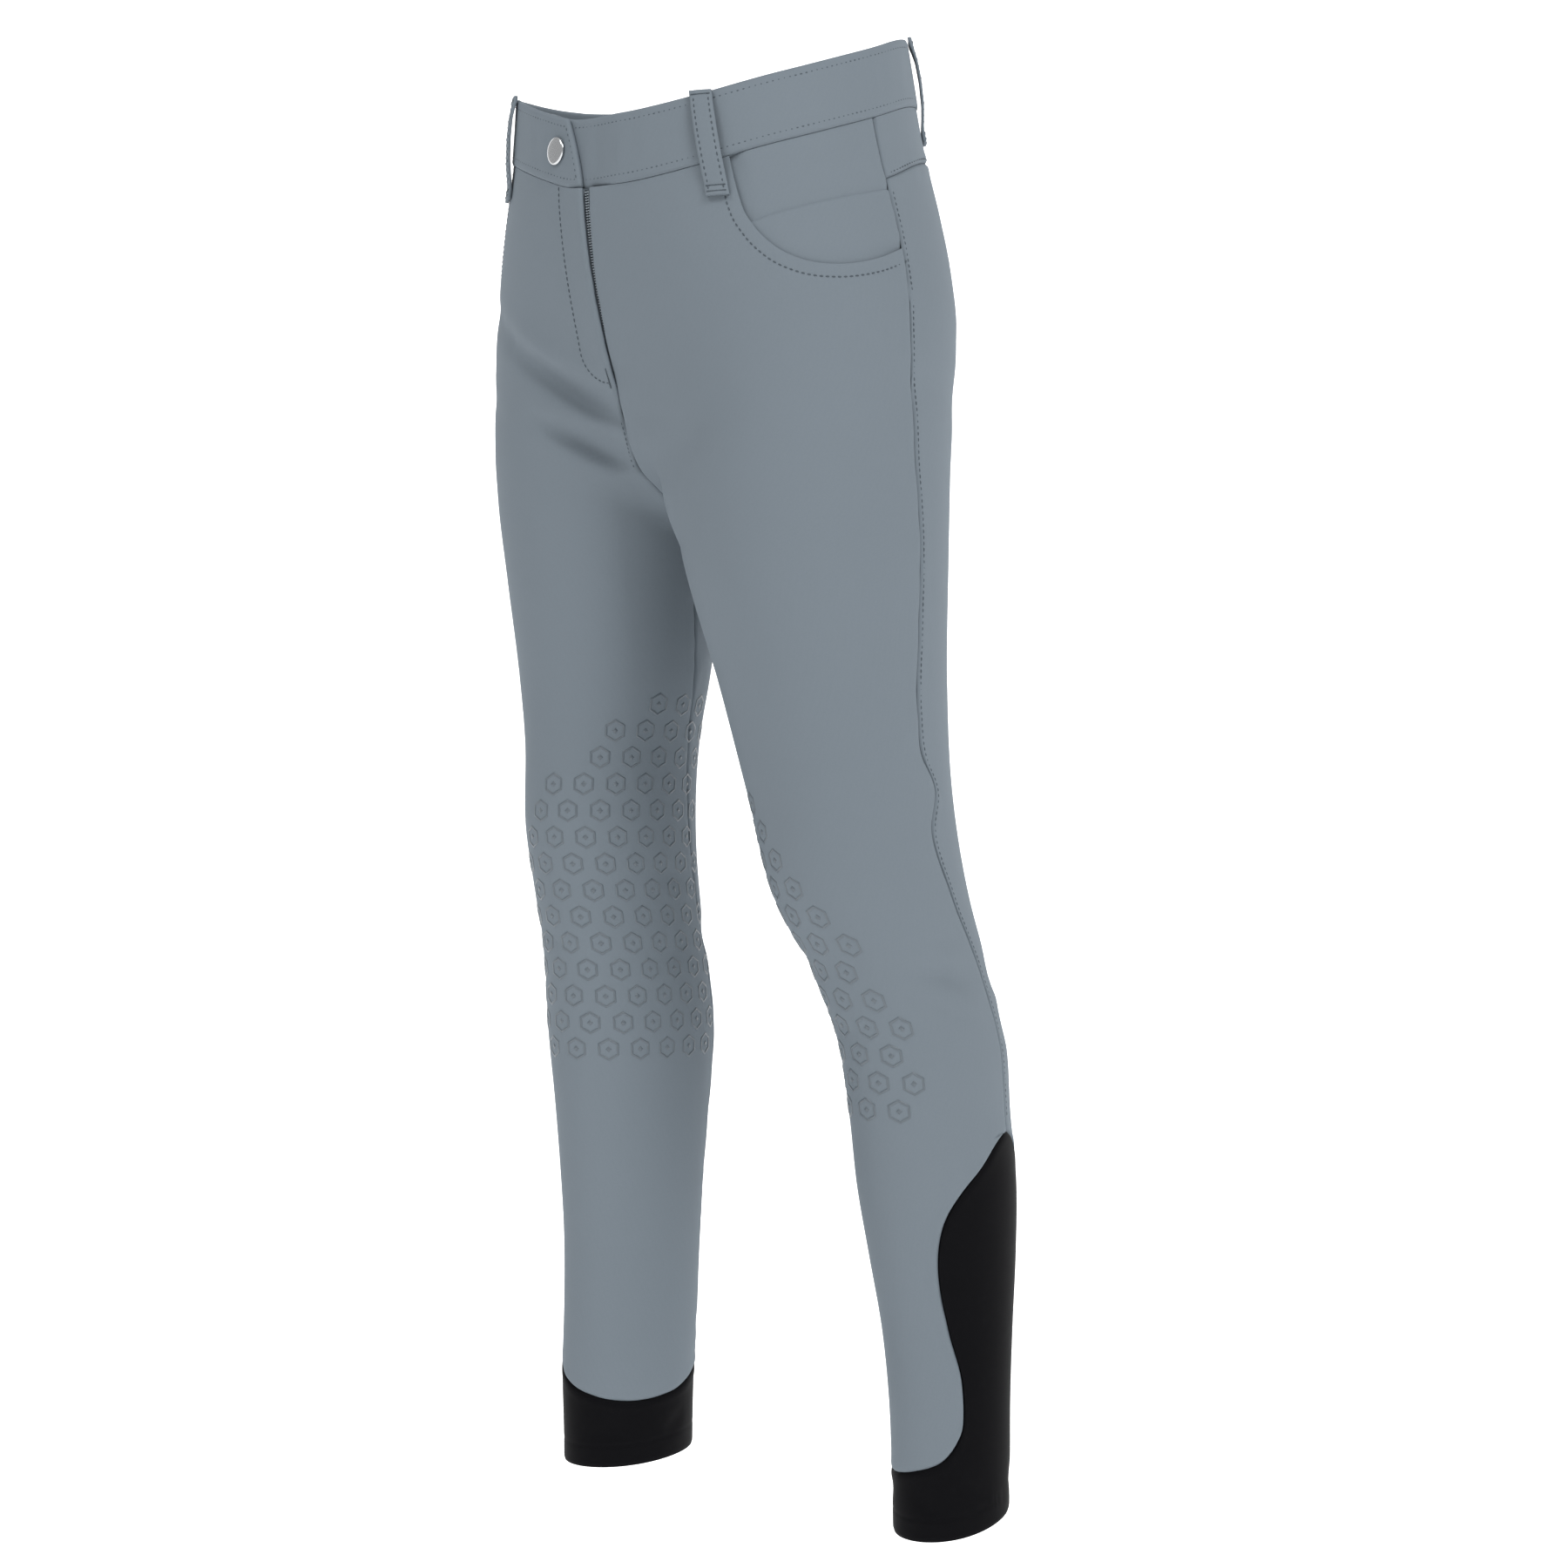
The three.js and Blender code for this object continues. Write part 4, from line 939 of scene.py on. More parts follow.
def grid_quads(rows: int, columns: int, ring: bool, start: int = 0, flip: bool = False) -> Array:
    """Faces of a grid of rows by columns, closed round if it is a ring.

    Args:
        rows: how many rows of points.
        columns: how many points in a row.
        ring: whether the last column joins the first.
        start: the number of the grid's first vertex.
        flip: whether the faces are turned over.

    Returns:
        Faces of four vertex numbers each.
    """
    index = start + np.arange(rows * columns).reshape(rows, columns)
    if ring:
        index = np.concatenate([index, index[:, :1]], axis=1)
    quads = np.stack([index[:-1, :-1], index[:-1, 1:], index[1:, 1:], index[1:, :-1]], -1).reshape(-1, 4)
    return quads[:, ::-1] if flip else quads


def wall_mesh(name: str, outer: Array, inner: Array, ring: bool = False) -> bpy.types.Object:
    """A closed wall between an outer and an inner grid of points.

    Args:
        name: the object's name.
        outer: rows by columns by three, in millimetres, with rows upward.
        inner: the same grid on the inside.
        ring: whether the last column joins the first.

    Returns:
        The object, with normals out and a UV map in metres along the cloth.
    """
    rows, columns = outer.shape[:2]
    count = rows * columns
    corner = outer[0, 0]
    flip = float(np.dot(np.cross(outer[0, 1] - corner, outer[1, 0] - corner), corner - inner[0, 0])) < 0
    quads = [grid_quads(rows, columns, ring, 0, flip), grid_quads(rows, columns, ring, count, not flip)]
    index = np.arange(count).reshape(rows, columns)
    rims = [(index[0], True), (index[-1], False)]
    if not ring:
        rims += [(index[:, 0], False), (index[:, -1], True)]
    for line, turned in rims:
        if ring:
            line = np.append(line, line[0])
        rim = np.stack([line[:-1], line[1:], line[1:] + count, line[:-1] + count], -1)
        quads.append(rim[:, ::-1] if turned != flip else rim)
    flat = np.stack([spans(outer, 1), spans(outer, 0)], -1).reshape(-1, 2) * MM
    points = np.concatenate([outer.reshape(-1, 3), inner.reshape(-1, 3)])
    return make_mesh(name, points, np.concatenate(quads), np.concatenate([flat, flat]))


def resample(path: Array, pitch: float) -> Array:
    """Places along a path at a pitch, centred between its ends.

    Args:
        path: points in order.
        pitch: from one place to the next.

    Returns:
        The places.
    """
    steps = np.linalg.norm(np.diff(path, axis=0), axis=1)
    along = np.concatenate([[0], np.cumsum(steps)])
    count = max(int(along[-1] / pitch), 1)
    stops = (np.arange(count) + 0.5) * along[-1] / count
    return np.stack([np.interp(stops, along, path[:, k]) for k in range(3)], -1)


@dataclass
class Stitching:
    """Rows of lockstitch: each stitch a low rounded bead of thread that dips into the cloth at both ends.

    Attributes:
        pitch: from one stitch to the next.
        length: of the thread that shows.
        width: of the thread.
        height: of the thread over the cloth.
    """

    pitch: float = 3.6
    length: float = 2.5
    width: float = 0.95
    height: float = 0.4

    def beads(self, centres: Array, along: Array, normals: Array) -> tuple[Array, Array]:
        """Points and faces of all beads: a template half ellipsoid set on each centre.

        Args:
            centres: where each stitch is.
            along: the way each stitch runs, unit length.
            normals: out of the cloth, unit length.

        Returns:
            Points in millimetres and faces.
        """
        ring = np.linspace(0, 2 * np.pi, 7)[:-1]
        stations = np.array([-1.0, -0.72, 0.0, 0.72, 1.0])
        girth = np.sqrt(1 - np.minimum(stations**2, 0.985))
        across = np.cross(normals, along)
        s = stations[:, None] * self.length / 2 + 0 * ring
        w = girth[:, None] * np.cos(ring) * self.width / 2
        arch = self.height * (0.3 - 0.75 * stations[:, None] ** 2)
        h = girth[:, None] * np.sin(ring) * self.height / 2 + arch
        local = np.stack([s, w, h], -1).reshape(-1, 3)
        basis = np.stack([along, across, normals], 1)
        points = centres[:, None] + np.einsum("pk,ckj->cpj", local, basis)
        quads = grid_quads(len(stations), len(ring), False)
        index = np.arange(len(stations) * len(ring)).reshape(len(stations), len(ring))
        closing = np.stack([index[:-1, -1], index[:-1, 0], index[1:, 0], index[1:, -1]], -1)
        ends = index[0][np.array([[0, 1, 2, 3], [3, 4, 5, 0]])]
        tails = index[-1][np.array([[3, 2, 1, 0], [0, 5, 4, 3]])]
        face = np.concatenate([quads, closing, ends, tails])[:, ::-1]
        offsets = np.arange(len(centres))[:, None, None] * len(local)
        return points.reshape(-1, 3), (face[None] + offsets).reshape(-1, 4)

    def sew(self, name: str, rows: Sequence[tuple[Array, Array]]) -> bpy.types.Object:
        """One object with all the stitches of some rows.

        Args:
            name: the object's name.
            rows: a path on the cloth and its normals for each row of stitches.

        Returns:
            The object.
        """
        points, faces, start = [], [], 0
        for path, normal in rows:
            centres = resample(path, self.pitch)
            steps = np.linalg.norm(np.diff(path, axis=0), axis=1)
            along = np.concatenate([[0], np.cumsum(steps)])
            stops = (np.arange(len(centres)) + 0.5) * along[-1] / len(centres)
            out = np.stack([np.interp(stops, along, normal[:, k]) for k in range(3)], -1)
            out /= np.linalg.norm(out, axis=1, keepdims=True)
            heading = np.gradient(centres, axis=0)
            heading /= np.linalg.norm(heading, axis=1, keepdims=True)
            some_points, some_faces = self.beads(centres, heading, out)
            points.append(some_points)
            faces.append(some_faces + start)
            start += len(some_points)
        return make_mesh(name, np.concatenate(points), np.concatenate(faces))


@dataclass
class Tailor:
    """What every sub-assembly shares: the form, the finishes and how a piece is declared."""

    form: Form
    palette: Palette

    def declare(
        self,
        piece: bpy.types.Object,
        finish: Finish,
        slot: str,
        nodes: Sequence[str] = (),
        cut: Cut | None = None,
        rests: Sequence[str] = ("waistband",),
    ) -> bpy.types.Object:
        """Gives a piece its finish, hangs it under the root, hides the model's parts that it stands for and
        logs its size.

        Args:
            piece: the object.
            finish: what it is made of.
            slot: the record's material slot; not used.
            nodes: the model's nodes it stands for.
            cut: the cloth before it was sewn.
            rests: what the cloth hangs from or lies on; not used.

        Returns:
            The piece.
        """
        piece.data.materials.append(self.palette.get(finish))
        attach(piece, "root")
        if nodes:
            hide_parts(*nodes)
        if cut is not None:
            width, length = cut.value
            area = min(self.cloth_area(piece), width * length)
            log.info("%s: cloth %.4f m2, cut %.4f m2", piece.name, self.cloth_area(piece), width * length)
        faces = len(piece.data.polygons)
        log.info("%s: %d faces, %s", piece.name, faces, finish.name.lower())
        return piece

    @staticmethod
    def cloth_area(piece: bpy.types.Object) -> float:
        """Area of one face of the cloth: half of the closed wall's surface, in square metres.

        Args:
            piece: a closed wall of cloth.

        Returns:
            The area.
        """
        areas = np.empty(len(piece.data.polygons), np.float32)
        piece.data.polygons.foreach_get("area", areas)
        return float(areas.sum()) / 2


# Leg panels


@dataclass
class SeamRoll:
    """How cloth turns in at a sewn edge: it dips by depth exp(-(off/width)^2) beside the seam.

    Attributes:
        depth: how far it dips.
        width: how wide the dip is.
        ridge: height of the turned-in edge that shows through beside the dip.
        pucker: height of the small waves that the thread pulls up beside the seam.
    """

    depth: float = 1.1
    width: float = 0.85
    ridge: float = 0.3
    pucker: float = 0.22

    def height(self, off: Array, along: Array, seed: int) -> Array:
        """The cloth's height beside a seam.

        Args:
            off: distance from the seam.
            along: length along it.
            seed: which waves to use.

        Returns:
            The height, negative where it dips.
        """
        rng = np.random.default_rng(SEED + seed)
        waves = sum(
            rng.uniform(0.4, 1.0) * np.sin(along * 2 * np.pi / rng.uniform(14, 46) + rng.uniform(0, 6.3))
            for _ in range(5)
        )
        dip = -self.depth * np.exp(-((off / self.width) ** 2))
        dip = dip + self.ridge * np.exp(-(((off - 4.2) / 2.4) ** 2))
        return dip + self.pucker * waves / 2.2 * np.exp(-((off / 9.0) ** 2))


@dataclass
class LegPanels(Tailor):
    """The front, back, yoke, pocket pieces and ankle panel of one leg.

    Attributes:
        leg: which leg.
        wall: thickness of the cloth.
        gap: between two pieces at a seam.
        fly_gap: how far the left front is cut back from the middle at the top.
        tongue: share of the ankle edge at which the front's tongue turns up.
        seam_end: share of the ankle edge at which the side seam meets it.
        level: shares of the front's height at which the tongue ends and the crotch stands.
        cell: the size of a face.
        scoop_stitch: how far the row of stitches runs outside the scoop.
    """

    leg: Leg = Leg.LEFT
    wall: float = 1.25
    gap: float = 0.3
    fly_gap: float = 5.0
    tongue: float = 0.42
    seam_end: float = 0.8
    level: tuple[float, float] = (0.24, 0.7)
    cell: float = 2.9
    scoop_stitch: float = 8.0
    roll: SeamRoll = field(default_factory=SeamRoll)

    def band_bottom(self, bearing: Array) -> Array:
        """The waistband's lower edge at a bearing on this leg's side."""
        return self.form.waist_top(self.leg.value * np.asarray(bearing, float)) - BAND_HEIGHT

    def yoke_bottom(self, bearing: Array) -> Array:
        """The yoke seam at a bearing on this leg's side."""
        return self.band_bottom(bearing) - self.form.yoke.at(np.abs(bearing))["drop"]

    def ankle_edge(self, share: Array, side: float) -> tuple[Array, Array, Array]:
        """The ankle panel's upper edge, half a gap off the seam on one side.

        Args:
            share: of the way round from the inseam.
            side: 1 above the seam, -1 below it.

        Returns:
            The hem angle, the angle and the height.
        """
        table = self.form.ankle[self.leg]
        share = np.asarray(share, float)
        here = table.at(share)
        before, after = table.at(np.maximum(share - 0.005, 0)), table.at(np.minimum(share + 0.005, 1))
        per_mm = self.form.per_mm(self.leg, here["z"])
        across, up = (after["angle"] - before["angle"]) / per_mm, after["z"] - before["z"]
        length = np.hypot(across, up)
        off = side * self.gap / 2
        return here["hem"], here["angle"] - up / length * off * per_mm, here["z"] + across / length * off

    def flat_of(self, bearing: Array, z: Array, back: bool) -> tuple[Array, Array]:
        """Angle and height on the leg of places told by bearing."""
        point = self.form.torso_point(self.leg.value * bearing, z)
        return self.form.leg_angle(self.leg, point, back), z

    def fly_opening(self, z: Array) -> Array:
        """How far the left front is cut back from the middle: gap s^1.6 over the fly's length.

        Args:
            z: heights in millimetres.

        Returns:
            Millimetres at each height, nought on the right front.
        """
        if self.leg is Leg.RIGHT:
            return np.zeros_like(z)
        share = np.clip((z - FLY_BOTTOM) / (self.band_bottom(0.0) - FLY_BOTTOM), 0, 1)
        return self.fly_gap * share**1.6

    def inner_edge(self, v: Array, back: bool) -> tuple[Array, Array]:
        """The panel's inner long edge: up the inseam to the crotch, then up the centre seam.

        Args:
            v: shares of the way up.
            back: whether it is the back's edge.

        Returns:
            Angles and heights.
        """
        form, leg = self.form, self.leg
        top = float(self.yoke_bottom(180.0) if back else self.band_bottom(0.0)) - self.gap
        top_tilt = form.tilt_at(top, back)
        bottom = float(self.ankle_edge(np.array(1.0 if back else 0.0), 1)[2])
        crotch = float(form.centre_point(leg.value * self.gap / 2, np.array(-90.0))[2])
        knee, knee_z = self.level[0] / self.level[1], -690.0
        share = np.clip(v / self.level[1], 0, 1)
        low = mix(bottom, knee_z, np.clip(share / knee, 0, 1))
        z = np.where(share < knee, low, mix(knee_z, crotch, np.clip((share - knee) / (1 - knee), 0, 1)))
        inset = self.gap / 2 * form.per_mm(leg, z)
        seam = form.inseam.at(z)["angle"]
        angle = seam + 360 - inset if back else seam + inset
        rise = np.clip((v - self.level[1]) / (1 - self.level[1]), 0, 1)
        tilt = mix(-90.0, top_tilt - 360 if back else top_tilt, rise**0.85)
        height = form.centre_point(0.0, tilt)[..., 2]
        opening = 0.0 if back else self.fly_opening(height)
        point = form.centre_point(leg.value * (self.gap / 2 + opening), tilt)
        above = v > self.level[1]
        return np.where(above, form.leg_angle(leg, point, back), angle), np.where(above, point[..., 2], z)

    def seam_bearing(self, z: Array, gap: float) -> Array:
        """The bearing of the side seam at a height, less a gap in millimetres.

        Args:
            z: heights in millimetres.
            gap: how far forward of the seam.

        Returns:
            Bearings on this leg's side.
        """
        reach = np.linalg.norm(self.form.torso_point(self.leg.value * 90.0, z)[..., :2], axis=-1)
        angle = self.form.outseam[self.leg].at(z)["angle"]
        return self.form.bearing_of(self.leg, angle, z) - np.degrees(gap / reach)

    def pocket_edge(self, share: Array) -> tuple[Array, Array]:
        """Bearing and height of the scoop's edge, from the waistband to the side seam.

        Args:
            share: of the way along the edge.

        Returns:
            Bearings and heights.
        """
        first, last = SCOOP[0].bearing, SCOOP[-1].bearing
        end_z = np.array(-125.0)
        table_bearing = mix(first, last, share**1.9)
        drop = self.form.scoop.at(table_bearing)["drop"]
        seam = self.seam_bearing(end_z, self.gap / 2)
        bearing = first + (table_bearing - first) * (seam - first) / (last - first)
        return bearing, self.band_bottom(bearing) - drop

    def front_top(self, u: Array) -> tuple[Array, Array]:
        """The front's top edge: along the waistband, then round the scoop to the side seam.

        Args:
            u: shares of the way across.

        Returns:
            Angles and heights.
        """
        corner = 0.46
        start = self.inner_edge(np.array([1.0]), False)
        start_bearing = self.form.bearing_of(self.leg, start[0], start[1])[0]
        bearing = mix(start_bearing, SCOOP[0].bearing, np.minimum(u / corner, 1))
        band = self.flat_of(bearing, self.band_bottom(bearing) - self.gap, False)
        scoop = self.flat_of(*self.pocket_edge(np.clip((u - corner) / (1 - corner), 0, 1)), False)
        on_band = u <= corner
        return np.where(on_band, band[0], scoop[0]), np.where(on_band, band[1], scoop[1])

    def front_outer(self, v: Array) -> tuple[Array, Array]:
        """The front's outer long edge: up the bent edge of the ankle panel, then up the side seam.

        Args:
            v: shares of the way up.

        Returns:
            Angles and heights.
        """
        end = self.front_top(np.array([1.0]))
        bend = np.clip(v / self.level[0], 0, 1)
        _, bend_angle, bend_z = self.ankle_edge(mix(self.tongue, self.seam_end, bend), 1)
        seam_z = float(self.ankle_edge(np.array(self.seam_end), 1)[2])
        z = mix(seam_z, float(end[1][0]), np.clip((v - self.level[0]) / (1 - self.level[0]), 0, 1))
        inset = self.gap / 2 * self.form.per_mm(self.leg, z)
        angle = self.form.outseam[self.leg].at(z)["angle"] - inset
        bent = v <= self.level[0]
        return np.where(bent, bend_angle, angle), np.where(bent, bend_z, z)

    @staticmethod
    def patch(
        inner: Edge, outer: Edge, top: Edge, bottom: Edge, u: Array, v: Array, reach: tuple[float, float]
    ) -> tuple[Array, Array]:
        """A flat patch held between four edges.

        Rows run straight from the inner to the outer edge; near the top and bottom they are pulled to those
        edges by a weight that falls off as (1 - distance / reach)^1.6.

        Args:
            inner: the edge at u 0, by v.
            outer: the edge at u 1, by v.
            top: the edge at v 1, by u.
            bottom: the edge at v 0, by u.
            u: shares across.
            v: shares up.
            reach: how far down from the top and up from the bottom the pull is felt.

        Returns:
            Angles and heights, rows by columns.
        """
        left, right = inner(v), outer(v)
        grids = [mix(left[k][:, None], right[k][:, None], u[None]) for k in (0, 1)]
        for edge, end, far in ((top, 1.0, reach[0]), (bottom, 0.0, reach[1])):
            weight = np.clip(1 - np.abs(end - v) / far, 0, 1) ** 1.6
            start, finish, on = inner(np.array([end])), outer(np.array([end])), edge(u)
            for k in (0, 1):
                pull = on[k] - mix(start[k][0], finish[k][0], u)
                grids[k] = grids[k] + weight[:, None] * pull[None]
        return grids[0], grids[1]

    def rolled(
        self, points: Array, normals: Array, sides: str, seed: int, lift: Array | float = 0.0
    ) -> Array:
        """Turns a panel's sewn edges in.

        Args:
            points: the panel's outer points.
            normals: its normals.
            sides: which edges are sewn, of l, r, t and b.
            seed: which waves the seams' puckers use.
            lift: height of the whole panel over the form.

        Returns:
            The moved points.
        """
        across, up = spans(points, 1), spans(points, 0)
        from_right, from_top = across[:, -1:] - across, up[-1:] - up
        offs = {"l": (across, up), "r": (from_right, up), "b": (up, across), "t": (from_top, across)}
        height = np.zeros(points.shape[:2]) + lift
        for k, side in enumerate(sides):
            height = height + self.roll.height(*offs[side], seed + k)
        return points + normals * height[..., None]

    def counts(self, width: float, length: float) -> tuple[Array, Array]:
        """Shares across and up for a panel of a size, set closer beside its seams.

        Args:
            width: of the panel in millimetres.
            length: of the panel in millimetres.

        Returns:
            Shares across and shares up.
        """
        cell = self.cell * 1.0
        near = np.array([0.35, 0.8, 1.4, 2.1])
        sides = []
        for size in (width, length):
            even = np.linspace(0, 1, int(size / cell) + 2)
            sides.append(np.unique(np.concatenate([even, near / size, 1 - near / size])))
        return sides[0], sides[1]

    def panel(
        self, name: str, angle: Array, z: Array, sides: str, seed: int, lift: Array | float = 0.0
    ) -> bpy.types.Object:
        """A leg panel's wall from its flat places, with rolled seams.

        Args:
            name: the piece's name.
            angle: angles on the leg, rows by columns.
            z: heights in the same shape.
            sides: which edges are sewn, of l, r, t and b.
            seed: which waves the seams' puckers use.
            lift: height of the panel over the form.

        Returns:
            The piece.
        """
        points = self.form.leg_point(self.leg, angle, z)
        normals = self.form.normals(points)
        outer = self.rolled(points, normals, sides, seed, lift)
        return wall_mesh(name, outer, outer - normals * self.wall)

    def front(self) -> bpy.types.Object:
        """The front, from the waistband and scoop to its tongue over the shin.

        Returns:
            The piece.
        """
        u, v = self.counts(250, 800)
        angle, z = self.patch(
            lambda s: self.inner_edge(s, False),
            self.front_outer,
            self.front_top,
            lambda s: self.ankle_edge(mix(0.001, self.tongue, s), 1)[1:],
            u,
            v,
            reach=(0.2, 0.2),
        )
        name = f"front_{self.leg.word}"
        piece = self.panel(name, angle, z, "lrb", 10 * self.leg.value + 30, self.fly_lift(angle, z))
        return self.declare(piece, Finish.CLOTH, name, [name], Cut.FRONT)

    def fly_lift(self, angle: Array, z: Array) -> Array:
        """How far this front stands off along the fly: only the right one does.

        Args:
            angle: angles on the leg.
            z: heights in millimetres.

        Returns:
            The height at each place.
        """
        if self.leg is Leg.LEFT:
            return np.zeros_like(z)
        return fly_stand(self.form.leg_point(self.leg, angle, z)[..., 0], z)

    def seam_top(self) -> tuple[float, float]:
        """Bearing and height where the yoke seam meets the side seam.

        Returns:
            The bearing and the height.
        """
        z, bearing = -84.0, 90.0
        for _ in range(6):
            angle = self.form.outseam[self.leg].at(np.array(z))["angle"]
            bearing = float(self.form.bearing_of(self.leg, angle, np.array(z))) + 0.06
            z = float(self.yoke_bottom(bearing)) - self.gap
        return bearing, z

    def back(self) -> bpy.types.Object:
        """The back, from the yoke seam down to the ankle panel's slant.

        Returns:
            The piece.
        """
        u, v = self.counts(220, 720)
        bearing, top_z = self.seam_top()
        first_z = float(self.ankle_edge(np.array(self.seam_end), 1)[2])

        def side_edge(s: Array) -> tuple[Array, Array]:
            """The back's edge beside the side seam.

            Args:
                s: shares of the way up.

            Returns:
                Angles and heights.
            """
            z = mix(first_z, top_z, s)
            inset = self.gap / 2 * self.form.per_mm(self.leg, z)
            return self.form.outseam[self.leg].at(z)["angle"] + inset, z

        def top(s: Array) -> tuple[Array, Array]:
            """The back's edge under the yoke, by shares of the way across."""
            turn = mix(bearing, 179.9, s)
            return self.flat_of(turn, self.yoke_bottom(turn) - self.gap, True)

        angle, z = self.patch(
            side_edge,
            lambda s: self.inner_edge(s, True),
            top,
            lambda s: self.ankle_edge(mix(self.seam_end, 0.999, s), 1)[1:],
            u,
            v,
            reach=(0.2, 0.25),
        )
        name = f"back_{self.leg.word}"
        piece = self.panel(name, angle, z, "lrtb", 10 * self.leg.value + 50)
        return self.declare(piece, Finish.CLOTH, name, [name], Cut.BACK, [f"yoke_{self.leg.word}"])

    def yoke(self) -> bpy.types.Object:
        """The yoke between the waistband and the back.

        Returns:
            The piece.
        """
        u, v = self.counts(190, 42)
        level = mix(float(self.yoke_bottom(91.0)), float(self.band_bottom(91.0)), v)
        seam = self.form.bearing_of(self.leg, self.form.outseam[self.leg].at(level)["angle"], level) + 0.06
        bearing = mix(seam[:, None], 179.93, u[None])
        z = mix(self.yoke_bottom(bearing), self.band_bottom(bearing) - self.gap, v[:, None])
        points = self.form.torso_point(self.leg.value * bearing, z)
        normals = self.form.normals(points)
        outer = self.rolled(points, normals, "lrb", 10 * self.leg.value + 70)
        name = f"yoke_{self.leg.word}"
        piece = wall_mesh(name, outer, outer - normals * self.wall)
        return self.declare(piece, Finish.CLOTH, name, [name], Cut.YOKE)

    def sewn_in(self, side: Array, drop: Array) -> Array:
        """How nearly a place inside the scoop is flush with the cloth round it, from 0 to 1.

        Args:
            side: bearing on this leg's side.
            drop: below the waistband.

        Returns:
            max(exp(-(drop/16)^2), exp(-(off the side seam/16)^2)) inside the scoop, fading to 0 at its edge.
        """
        rows = np.array(SCOOP)
        edge = np.interp(drop, rows[:-1, 1], rows[:-1, 0])
        inside = np.minimum((side - edge) * MM_PER_DEGREE, rows[-2:, 1].min() - drop)
        share = np.clip(inside / 9, 0, 1)
        seam = self.seam_bearing(self.band_bottom(side) - drop, self.gap)
        near = np.maximum(np.exp(-((drop / 16) ** 2)), np.exp(-(((seam - side) * MM_PER_DEGREE / 16) ** 2)))
        return near * share * share * (3 - 2 * share)

    def inside_scoop(
        self,
        name: str,
        start: float,
        drops: tuple[DropLine, DropLine],
        height: float,
        flush: Callable[[Array, Array], Array],
        wall: float,
    ) -> bpy.types.Object:
        """A piece inside the scoop, from under the front to the side seam, between two drops.

        Args:
            name: the piece's name.
            start: bearing of its hidden edge.
            drops: its top and bottom edge as drops by bearing.
            height: over the form where it lies free.
            flush: its height by bearing and drop where it is sewn in.
            wall: its thickness.

        Returns:
            The piece.
        """
        u, v = self.counts(100, 70)
        top_drop, bottom_drop = drops
        guess = mix(start, 90.0, u)[None]
        level = self.band_bottom(guess) - mix(bottom_drop(guess), top_drop(guess), v[:, None])
        side = mix(start, self.seam_bearing(level, self.gap), u[None])
        z = self.band_bottom(side) - mix(bottom_drop(side), top_drop(side), v[:, None])
        drop = self.band_bottom(side) - z
        points = self.form.torso_point(self.leg.value * side, z)
        normals = self.form.normals(points)
        whole = drops[0](start) < 1
        rest = self.rolled(points, normals, "r" if whole else "rt", 10 * self.leg.value + 90)
        lift = mix(height, flush(side, drop), self.sewn_in(side, drop))
        outer = rest + normals * lift[..., None]
        piece = wall_mesh(name, outer, outer - normals * wall)
        cut, rest_on = (Cut.FACING, "front") if whole else (Cut.COIN, "pocket_facing")
        return self.declare(piece, Finish.CLOTH, name, [name], cut, [f"{rest_on}_{self.leg.word}"])

    def pocket(self) -> list[bpy.types.Object]:
        """The facing behind the scoop and the small pocket's front on it.

        Returns:
            Both pieces.
        """
        word = self.leg.word
        facing = self.inside_scoop(
            f"pocket_facing_{word}",
            start=46.0,
            drops=(level_at(0.3), level_at(95.0)),
            height=-2.6,
            flush=lambda side, drop: -1.2 * np.clip((drop - self.form.coin.at(side)["drop"] + 3) / 3, 0, 1),
            wall=1.1,
        )
        coin = self.inside_scoop(
            f"coin_pocket_{word}",
            start=49.0,
            drops=(lambda bearing: self.form.coin.at(bearing)["drop"], level_at(89.0)),
            height=-1.5,
            flush=lambda side, drop: 0.0 * drop,
            wall=0.8,
        )
        return [facing, coin]

    def ankle(self) -> bpy.types.Object:
        """The dark ankle panel with its slanted tongue edge, once round the leg.

        Returns:
            The piece.
        """
        u = np.linspace(0, 1, 191)[:-1]
        _, v = self.counts(10, 110)
        hem_angle, edge_angle, edge_z = self.ankle_edge(u, -1)
        hem = HEMS[self.leg]
        hem_z = hem.z - hem.tip * np.cos(np.radians(hem_angle - hem.lowest))
        angle = mix(hem_angle[None], edge_angle[None], v[:, None])
        z = mix(hem_z[None], edge_z[None], v[:, None])
        points = self.form.leg_point(self.leg, angle, z)
        normals = self.form.normals(points)
        up = spans(points, 0)
        along = spans(points, 1)
        height = self.roll.height(up[-1:] - up, along, 7) - 0.5 * np.exp(-((up / 1.2) ** 2))
        height = height - 0.28 * np.exp(-(((up - 14) / 1.1) ** 2))
        outer = points + normals * height[..., None]
        name = f"ankle_panel_{self.leg.word}"
        piece = wall_mesh(name, outer, outer - normals * self.wall, ring=True)
        rests = [f"front_{self.leg.word}", f"back_{self.leg.word}"]
        return self.declare(piece, Finish.ANKLE, name, [name], Cut.ANKLE, rests)

    def build(self) -> list[bpy.types.Object]:
        """All of this leg's cloth."""
        return [self.front(), self.back(), self.yoke(), *self.pocket(), self.ankle()]

    def on_leg(self, angle: Array, z: Array, height: Array | float) -> tuple[Array, Array]:
        """A path on the leg's cloth and its normals."""
        return self.form.raised(self.form.leg_point(self.leg, angle, z), height)

    def on_torso(self, bearing: Array, z: Array, height: float) -> tuple[Array, Array]:
        """A path on this side of the torso and its normals."""
        return self.form.raised(self.form.torso_point(self.leg.value * bearing, z), height)

